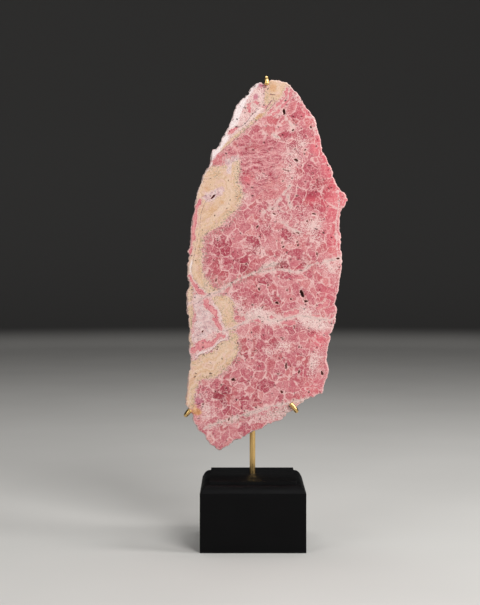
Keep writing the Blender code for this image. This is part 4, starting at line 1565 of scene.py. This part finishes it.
def rhodochrosite_group(breccia: bpy.types.NodeTree) -> bpy.types.NodeTree:
    """The slab's colour: pink breccia, pale matrix, cream bands, ribbons, veins, white lines that are partly
    painted highlight, and pits darkened with painted shade.
    """
    graph, given, made = new_group(
        "rhodochrosite",
        {
            "Place": "Vector",
            "Bands": "Vector",
            "Marks": "Vector",
            "Tints": "Vector",
            "Zones": "Vector",
            "Rims": "Vector",
        },
        {"Colour": "Color", "Height": "Float", "Dull": "Float"},
    )
    place = given["Place"]
    cream, ribbon, vein = graph.split(given["Bands"])
    crack, pit, lavender = graph.split(given["Marks"])
    pale, deep, ochre = graph.split(given["Tints"])
    streak, coral, grey = graph.split(given["Zones"])
    white, mauve, _ = graph.split(given["Rims"])
    stone = graph.group(breccia, Place=place, Streak=streak)

    def ragged(size: float, amount: float, detail: float = 3) -> Wire:
        """Noise about zero, its size and its amount in millimetres."""
        value = graph.noise(place, 1 / size, detail, 0.6)
        return (value - 0.5) * amount

    coarse, middle, fine = ragged(9, 15.0), ragged(3.2, 8.0), ragged(1.2, 4.0, 2)
    fleck = stone["Fleck"] - 0.5

    def within(inside: object, noise: object, soft: float) -> Wire:
        """Mask of a border moved by noise, with a soft edge."""
        return graph.between(inside + noise, -soft, soft)

    def over(colour: object, mask: object, strength: float, shade: tuple) -> Wire:
        """A shade laid over a colour through a mask."""
        return graph.mix(mask * strength, colour, shade)

    shade = stone["Shade"] - deep * 0.42
    shade = shade + fleck * 1.6
    pink = graph.ramp(
        shade,
        (0.0, tone(150, 50, 66)),
        (0.25, tone(178, 80, 94)),
        (0.5, tone(194, 108, 117)),
        (0.76, tone(207, 136, 139)),
        (1.0, tone(219, 164, 160)),
    )
    warm = graph.mix(graph.math("MINIMUM", coral, 1.2) * 0.62, pink, tone(224, 106, 116))
    colour = graph.mix(graph.between(stone["Hue"], 0.5, 1.0, 0.0, 0.2), warm, tone(214, 128, 116))

    paleness = graph.math("MINIMUM", pale, 1.1) * 0.8
    paleness = paleness + (coarse + middle) * 0.045
    paleness = paleness + fleck * 2.2
    paleness = paleness + stone["Web"] * 0.35
    matrix = graph.between(paleness, 0.45, 0.95)
    mottle = fleck * 0.5 + middle * 0.05
    chalk = graph.mix(graph.between(mottle, -0.07, 0.06), tone(208, 158, 156), tone(231, 204, 198))
    colour = over(colour, matrix, 0.9, chalk)
    colour = over(colour, stone["Vein"], 0.86, tone(230, 190, 186))
    glints = graph.between(fleck + pale * 0.12, 0.13, 0.2)
    colour = over(colour, glints, 0.7, tone(240, 220, 214))

    specks = graph.between(graph.noise(place, 0.66, 3, 0.7), 0.5, 0.62)
    grime = graph.between(grey + middle * 0.08, 0.2, 0.6)
    scattered = graph.between(graph.noise(place, 0.7, 4, 0.75), 0.61, 0.67)

    ruffled = coarse * 0.4 + (middle + fine)
    border = within(cream, ruffled, 0.45)
    halo = within(cream + 2.6, coarse + middle, 1.8) * 0.75
    colour = over(colour, halo * graph.between(fleck, -0.1, 0.06), 0.85, tone(229, 198, 190))
    depth = cream + (coarse * 0.8 + middle)
    contour = graph.noise(graph.joined(depth * 0.3, graph.split(place)[2] * 0.02, 0.0), 1.0, 3, 0.6)
    tan = graph.ramp(
        contour,
        (0.3, tone(210, 164, 134)),
        (0.42, tone(218, 180, 148)),
        (0.52, tone(222, 188, 160)),
        (0.62, tone(227, 198, 176)),
        (0.74, tone(215, 173, 140)),
    )
    blush = graph.between(ragged(7, 1.0), 0.0, 0.14)
    tan = over(tan, blush, 0.5, tone(226, 184, 176))
    tan = graph.mix(
        graph.between(ochre + (middle + fine) * 0.12, 0.25, 1.1, 0.0, 0.8), tan, tone(210, 158, 112)
    )
    tan = over(tan, graph.between(fleck, 0.02, 0.14), 0.55, tone(232, 210, 196))
    tan = over(tan, graph.between(fleck, -0.04, -0.16), 0.45, tone(184, 140, 114))
    lines = abs(graph.noise(graph.joined(depth * 0.22, 3.0, 0.0), 1.0, 1) - 0.5)
    tan = over(tan, graph.between(lines, 0.002, 0.016, 1.0, 0.0), 0.2, tone(176, 122, 104))
    colour = graph.mix(border, colour, tan)
    rind = graph.between(cream + middle, -3.2, -0.4) * graph.between(cream + coarse, 7.0, 1.5)
    colour = over(colour, rind * specks, 0.72, tone(134, 122, 98))

    pearl = within(lavender, ruffled, 0.7)
    cloud = graph.noise(place, 0.22, 3, 0.6) + fleck * 0.6
    pearl_tone = graph.ramp(
        cloud, (0.34, tone(207, 163, 164)), (0.47, tone(219, 185, 182)), (0.6, tone(228, 203, 199))
    )
    colour = graph.mix(pearl, colour, pearl_tone)
    creases = abs(graph.noise(place, 0.13, 3, 0.6) - 0.5)
    colour = over(colour, pearl * graph.between(creases, 0.003, 0.02, 1.0, 0.0), 0.5, tone(146, 116, 128))
    stain = graph.between(ochre + middle * 0.12, 0.5, 1.2) * (1.0 - border)
    stain_tone = graph.mix(graph.between(middle + fine, -0.6, 0.7), tone(196, 134, 84), tone(226, 184, 140))
    colour = graph.mix(stain * 0.92, colour, stain_tone)

    # white lines laid over the colour: the stone's white banding and, along the rim, painted highlights
    white_and_highlight_mask = graph.between(white + ruffled * 0.5, -0.8, 1.6)
    snow = graph.mix(graph.between(stone["Fleck"], 0.42, 0.58), tone(232, 208, 208), tone(244, 236, 233))
    colour = graph.mix(white_and_highlight_mask * 0.97, colour, snow)
    colour = over(colour, graph.between(mauve + middle * 0.1, 0.3, 0.75), 0.75, tone(190, 104, 126))

    wavy = coarse * 0.55 + (middle * 1.0 + fine * 0.7)
    colour = over(colour, within(ribbon + 1.3, wavy, 0.5), 0.65, tone(229, 196, 188))
    colour = over(
        colour, graph.between(abs(ribbon + 1.5 + wavy), 0.1, 0.4, 1.0, 0.0), 0.4, tone(158, 108, 108)
    )
    inner_rose = middle * 0.16 + graph.math("MINIMUM", ribbon, 2.0) * 0.12
    rose = graph.ramp(
        0.36 + (fleck + inner_rose),
        (0.18, tone(184, 78, 94)),
        (0.42, tone(205, 108, 120)),
        (0.74, tone(223, 152, 151)),
    )
    colour = graph.mix(within(ribbon, wavy, 0.4) * 0.92, colour, rose)

    spread = coarse * 0.25 + (middle * 0.7 + fine * 0.8)
    colour = over(colour, within(vein + 1.5, spread + coarse, 1.2), 0.5, tone(228, 194, 188))
    colour = over(colour, within(vein + 0.3, spread, 0.7), 0.85, tone(226, 196, 190))
    inner = within(vein + 0.1, spread, 0.6) * specks
    colour = over(colour, inner, 0.45, tone(150, 136, 128))
    core = graph.between(abs(vein - 0.5 + spread * 0.5), 0.05, 0.4, 1.0, 0.0)
    broken = graph.between(graph.noise(place, 0.3, 2), 0.46, 0.54)
    colour = over(colour, core * broken, 0.5, tone(134, 104, 100))

    colour = over(colour, grime * specks, 0.68, tone(132, 122, 104))
    colour = over(colour, scattered, 0.62, tone(118, 66, 62))
    hairline = within(crack, fine * 0.25, 0.22)
    colour = over(colour, hairline, 0.75, tone(116, 66, 76))

    shaken = graph.split(graph.vector("ADD", place, graph.joined(middle, 0.0, fine)))
    pricks = graph.cells(graph.joined(shaken[0], shaken[2], 0.0), 1 / 4.2, "F1", flat=True)
    chance, grown, _ = graph.split(pricks["Color"])
    open_ground = graph.math(
        "MAXIMUM", graph.math("MINIMUM", pale, 1.0) * 0.2, graph.between(vein, -4.0, 0.0, 0.0, 0.4)
    )
    lone = graph.between(chance + open_ground * 0.7, 0.82, 0.84)
    prick = graph.between(pricks["Distance"], grown * 0.17, grown * 0.22 + 0.05, 1.0, 0.0)
    prick = prick * lone
    hole = within(pit + 0.15, fine * 0.3, 0.2)
    lip = graph.between(pit, -1.3, -0.25) * (1.0 - hole)
    colour = over(colour, lip, 0.5, tone(234, 206, 198))
    # painted shade: the colour darkens to near black towards the middle of each open pit
    painted_pit_shade = graph.ramp(
        graph.between(pit + fine * 0.5, -0.3, 0.7),
        (0.0, tone(146, 62, 54)),
        (0.45, tone(98, 32, 26)),
        (1.0, tone(40, 10, 6)),
    )
    colour = graph.mix(hole, colour, painted_pit_shade)
    colour = over(colour, prick, 0.9, tone(66, 26, 24))
    graph.feed(made["Colour"], colour)
    open_pores = prick * 0.5 + hairline * 0.5
    graph.feed(made["Height"], stone["Fleck"] - open_pores)
    graph.feed(made["Dull"], graph.math("MAXIMUM", hole, specks * 0.4))
    return made["Colour"].node.id_data


@dataclass(frozen=True)
class StoneFace:
    """Rhodochrosite: how bright, rough and bumpy one kind of its surface is."""

    name: str
    roughness: float
    dull_roughness: float
    bump: float
    grit: float
    chalk: float

    def material(self, stone: bpy.types.NodeTree) -> bpy.types.Material:
        """Makes the material: the stone's colour with chalky bruises, grit as bump, and
        roughness that rises in the pits and on the duller minerals."""
        made, graph, shader = new_material(self.name)
        place = graph.millimetres()
        read = {name.title(): graph.attribute(name) for name in ("bands", "marks", "tints", "zones", "rims")}
        parts = graph.group(stone, Place=place, **read)
        edge = graph.split(read["Rims"])[2]
        grit = graph.noise(place, 0.9, 4, 0.7)
        bruise = graph.between(grit, 0.36, 0.62) * self.chalk
        chip = graph.between(edge + grit * 1.6, 0.4, 1.5, 0.6, 0.0)
        colour = graph.mix(graph.math("MAXIMUM", bruise, chip), parts["Colour"], tone(236, 206, 200))
        graph.feed(shader.inputs["Base Color"], colour)
        rough = graph.between(parts["Dull"], 0.0, 1.0, self.roughness, self.dull_roughness)
        graph.feed(shader.inputs["Roughness"], rough + grit * 0.12)
        height = parts["Height"] * self.bump + grit * self.grit
        graph.feed(shader.inputs["Normal"], graph.bump(height, 1.0))
        shader.inputs["Specular IOR Level"].default_value = 0.34
        return made


@dataclass(frozen=True)
class Brass:
    """Satin brass rod: drawn and rubbed along its length, browned where it isn't handled."""

    bright: Colour = (230, 190, 120)
    brown: Colour = (138, 92, 42)
    roughness: float = 0.27

    def material(self, wear: bpy.types.NodeTree) -> bpy.types.Material:
        """Makes the material: colour and roughness from patches of tarnish, and fine marks
        stretched along the rod as bump."""
        made, graph, shader = new_material("satin_brass")
        place = graph.millimetres()
        worn = graph.group(wear, Place=place, Grain=1.4)
        along, a, b = graph.split(graph.attribute("rod_place"))
        drawn = graph.noise(graph.joined(along * 0.16, a * 5.0, b * 5.0), 1.0, 3, 0.6)
        tarnish = worn["Patches"] * graph.between(worn["Marks"], 0.2, 1.0, 0.1, 0.3)
        colour = graph.mix(tarnish, tone(*self.bright), tone(*self.brown))
        colour = graph.mix(drawn * 0.3, colour, tone(240, 212, 152))
        graph.feed(shader.inputs["Base Color"], colour)
        shader.inputs["Metallic"].default_value = 1.0
        rough = self.roughness + tarnish * 0.15
        graph.feed(shader.inputs["Roughness"], rough + drawn * 0.06)
        graph.feed(shader.inputs["Normal"], graph.bump(drawn + worn["Marks"] * 0.2, 0.0008))
        return made


@dataclass(frozen=True)
class BlackWood:
    """Black lacquered wood with faint grain, dusty edges and rubbed arrises."""

    black: Colour = (5, 5, 6)
    rubbed: Colour = (44, 40, 37)
    roughness: float = 0.42

    def material(self, wear: bpy.types.NodeTree) -> bpy.types.Material:
        """Makes the material: grain along X from stretched noise, wear on the arrises from how
        sharply the surface bends, and specks of dust on what faces up."""
        made, graph, shader = new_material("black_lacquered_wood")
        place = graph.millimetres()
        worn = graph.group(wear, Place=place, Grain=0.9)
        x, y, z = graph.split(place)
        grain_place = graph.joined(x * 0.035, y * 0.9, z * 0.9)
        grain = graph.noise(grain_place, 1.0, 4, 0.65)
        geometry = graph.outputs(graph.add("ShaderNodeNewGeometry"))
        arris = graph.between(geometry["Pointiness"], 0.53, 0.6, 0.0, 0.5)
        colour = graph.mix(graph.between(grain, 0.4, 0.7, 0.0, 0.35), tone(*self.black), tone(11, 10, 10))
        colour = graph.mix(arris * worn["Marks"], colour, tone(*self.rubbed))
        up = graph.between(graph.split(geometry["Normal"])[2], 0.6, 0.95)
        colour = graph.mix(up * worn["Dust"] * 0.5, colour, tone(120, 116, 110))
        graph.feed(shader.inputs["Base Color"], colour)
        rough = self.roughness + worn["Patches"] * 0.1
        graph.feed(shader.inputs["Roughness"], rough + grain * 0.08)
        shader.inputs["Specular IOR Level"].default_value = 0.1
        graph.feed(shader.inputs["Normal"], graph.bump(grain + worn["Marks"] * 0.3, 0.05))
        return made


# --- studio -------------------------------------------------------------------------------


@dataclass(frozen=True)
class SoftLight:
    """A soft box: where it hangs and what it lights in millimetres, its width, height and
    power."""

    name: str
    place: tuple[float, float, float]
    aim: tuple[float, float, float]
    size: tuple[float, float]
    power: float
    colour: Colour = (1.0, 1.0, 1.0)

    def hang(self) -> None:
        """Adds the light to the scene."""
        data = bpy.data.lights.new(self.name, "AREA")
        data.shape = "RECTANGLE"
        data.size, data.size_y = self.size[0] * MM, self.size[1] * MM
        data.energy, data.color = self.power, self.colour
        light = bpy.data.objects.new(self.name, data)
        light.location = Vector(self.place) * MM
        light.rotation_euler = (Vector(self.aim) - Vector(self.place)).to_track_quat("-Z", "Y").to_euler()
        bpy.context.scene.collection.objects.link(light)


@dataclass
class Studio:
    """A pale floor that curves up into a darker round wall, the soft lights and the camera.

    Lengths are millimetres. The floor keeps its own tone up to the first wall rise and has
    the wall's tone from the second. The eye is the camera's place and the shift is a share of
    its width."""

    floor_radius: float = 3000.0
    cove: float = 900.0
    wall: float = 3200.0
    turns: int = 96
    wall_rise: tuple[float, float] = (1.0, 60.0)
    air: float = 0.18
    eye: tuple[float, float, float] = (-14.0, -1450.6, 320.8)
    lens: float = 77.36
    shift: float = -0.0802
    lights: tuple[SoftLight, ...] = (
        SoftLight("key_light", (800, -1500, 1400), (0, 0, 300), (800, 900), 28),
        SoftLight("fill_light", (-1300, -1300, 900), (0, 0, 300), (900, 1100), 9),
        SoftLight("side_light", (1500, -380, 900), (0, 0, 300), (500, 700), 16),
        SoftLight("top_light", (0, 500, 1900), (0, 0, 200), (1400, 900), 12),
    )

    def surround(self) -> bpy.types.Object:
        """The floor and wall: a profile, flat to the floor's radius, then a quarter circle, then
        upright, turned about the vertical."""
        flat = np.column_stack([np.linspace(2, self.floor_radius, 24), np.zeros(24)])
        turn = np.radians(np.linspace(5, 90, 18))
        out = self.floor_radius + self.cove * np.sin(turn)
        curve = np.column_stack([out, self.cove * (1 - np.cos(turn))])
        top = np.array([[self.floor_radius + self.cove, self.wall]])
        profile = np.vstack([flat, curve, top])
        angle = np.linspace(0, 2 * math.pi, self.turns, endpoint=False)
        heights = np.repeat(profile[:, 1:], self.turns, axis=1)
        rings = np.stack([profile[:, :1] * np.cos(angle), profile[:, :1] * np.sin(angle), heights], axis=-1)
        shell = Shell()
        shell.add(rings)
        shell.add(np.array([[0.0, 0.0, 0.0]]))
        shell.join(grid_faces(len(profile), self.turns, 0, round_columns=True), turned=True)
        shell.join(fan_faces(np.arange(self.turns), len(profile) * self.turns))
        made, graph, shader = new_material("pale_floor")
        place = graph.millimetres()
        cloud = graph.noise(place, 0.004, 2)
        pale = graph.mix(cloud, tone(196, 194, 190), tone(206, 204, 200))
        risen = graph.between(graph.split(place)[2], *self.wall_rise)
        graph.feed(shader.inputs["Base Color"], graph.mix(risen, pale, tone(84, 83, 82)))
        shader.inputs["Roughness"].default_value = 0.7
        shader.inputs["Specular IOR Level"].default_value = 0.2
        return shell.piece("studio_floor", [made], 180)

    def camera(self) -> None:
        """The level camera, looking along +Y at the polished face."""
        data = bpy.data.cameras.new("camera")
        data.sensor_width, data.lens, data.shift_y = 36.0, self.lens, self.shift
        made = bpy.data.objects.new("camera", data)
        made.location = Vector(self.eye) * MM
        made.rotation_euler = (math.pi / 2, 0, 0)
        bpy.context.scene.collection.objects.link(made)
        bpy.context.scene.camera = made

    def build(self) -> None:
        """Builds the surround, the light and the camera."""
        self.surround()
        world = bpy.data.worlds.new("studio_air")
        world.use_nodes = True
        background = world.node_tree.nodes["Background"]
        background.inputs["Color"].default_value = (1.0, 1.0, 1.0, 1.0)
        background.inputs["Strength"].default_value = self.air
        bpy.context.scene.world = world
        bpy.context.scene.view_settings.view_transform = "Standard"
        for light in self.lights:
            light.hang()
        self.camera()


def main() -> None:
    """Builds the slice, its armature, its plinth and the studio, in that order."""
    logging.basicConfig(level=logging.INFO, format="%(name)s %(message)s")
    stone = rhodochrosite_group(breccia_group())
    wear = wear_group()
    polished = StoneFace("polished_face", 0.16, 0.7, 0.03, 0.01, 0.0).material(stone)
    natural = StoneFace("natural_rim", 0.55, 0.85, 0.25, 0.5, 0.55).material(stone)
    sawn = StoneFace("sawn_back", 0.4, 0.8, 0.05, 0.05, 0.15).material(stone)
    Slice().build([polished, natural, sawn])
    Armature().build(Brass().material(wear))
    Plinth().build(BlackWood().material(wear))
    Studio().build()


if __name__ == "__main__":
    main()
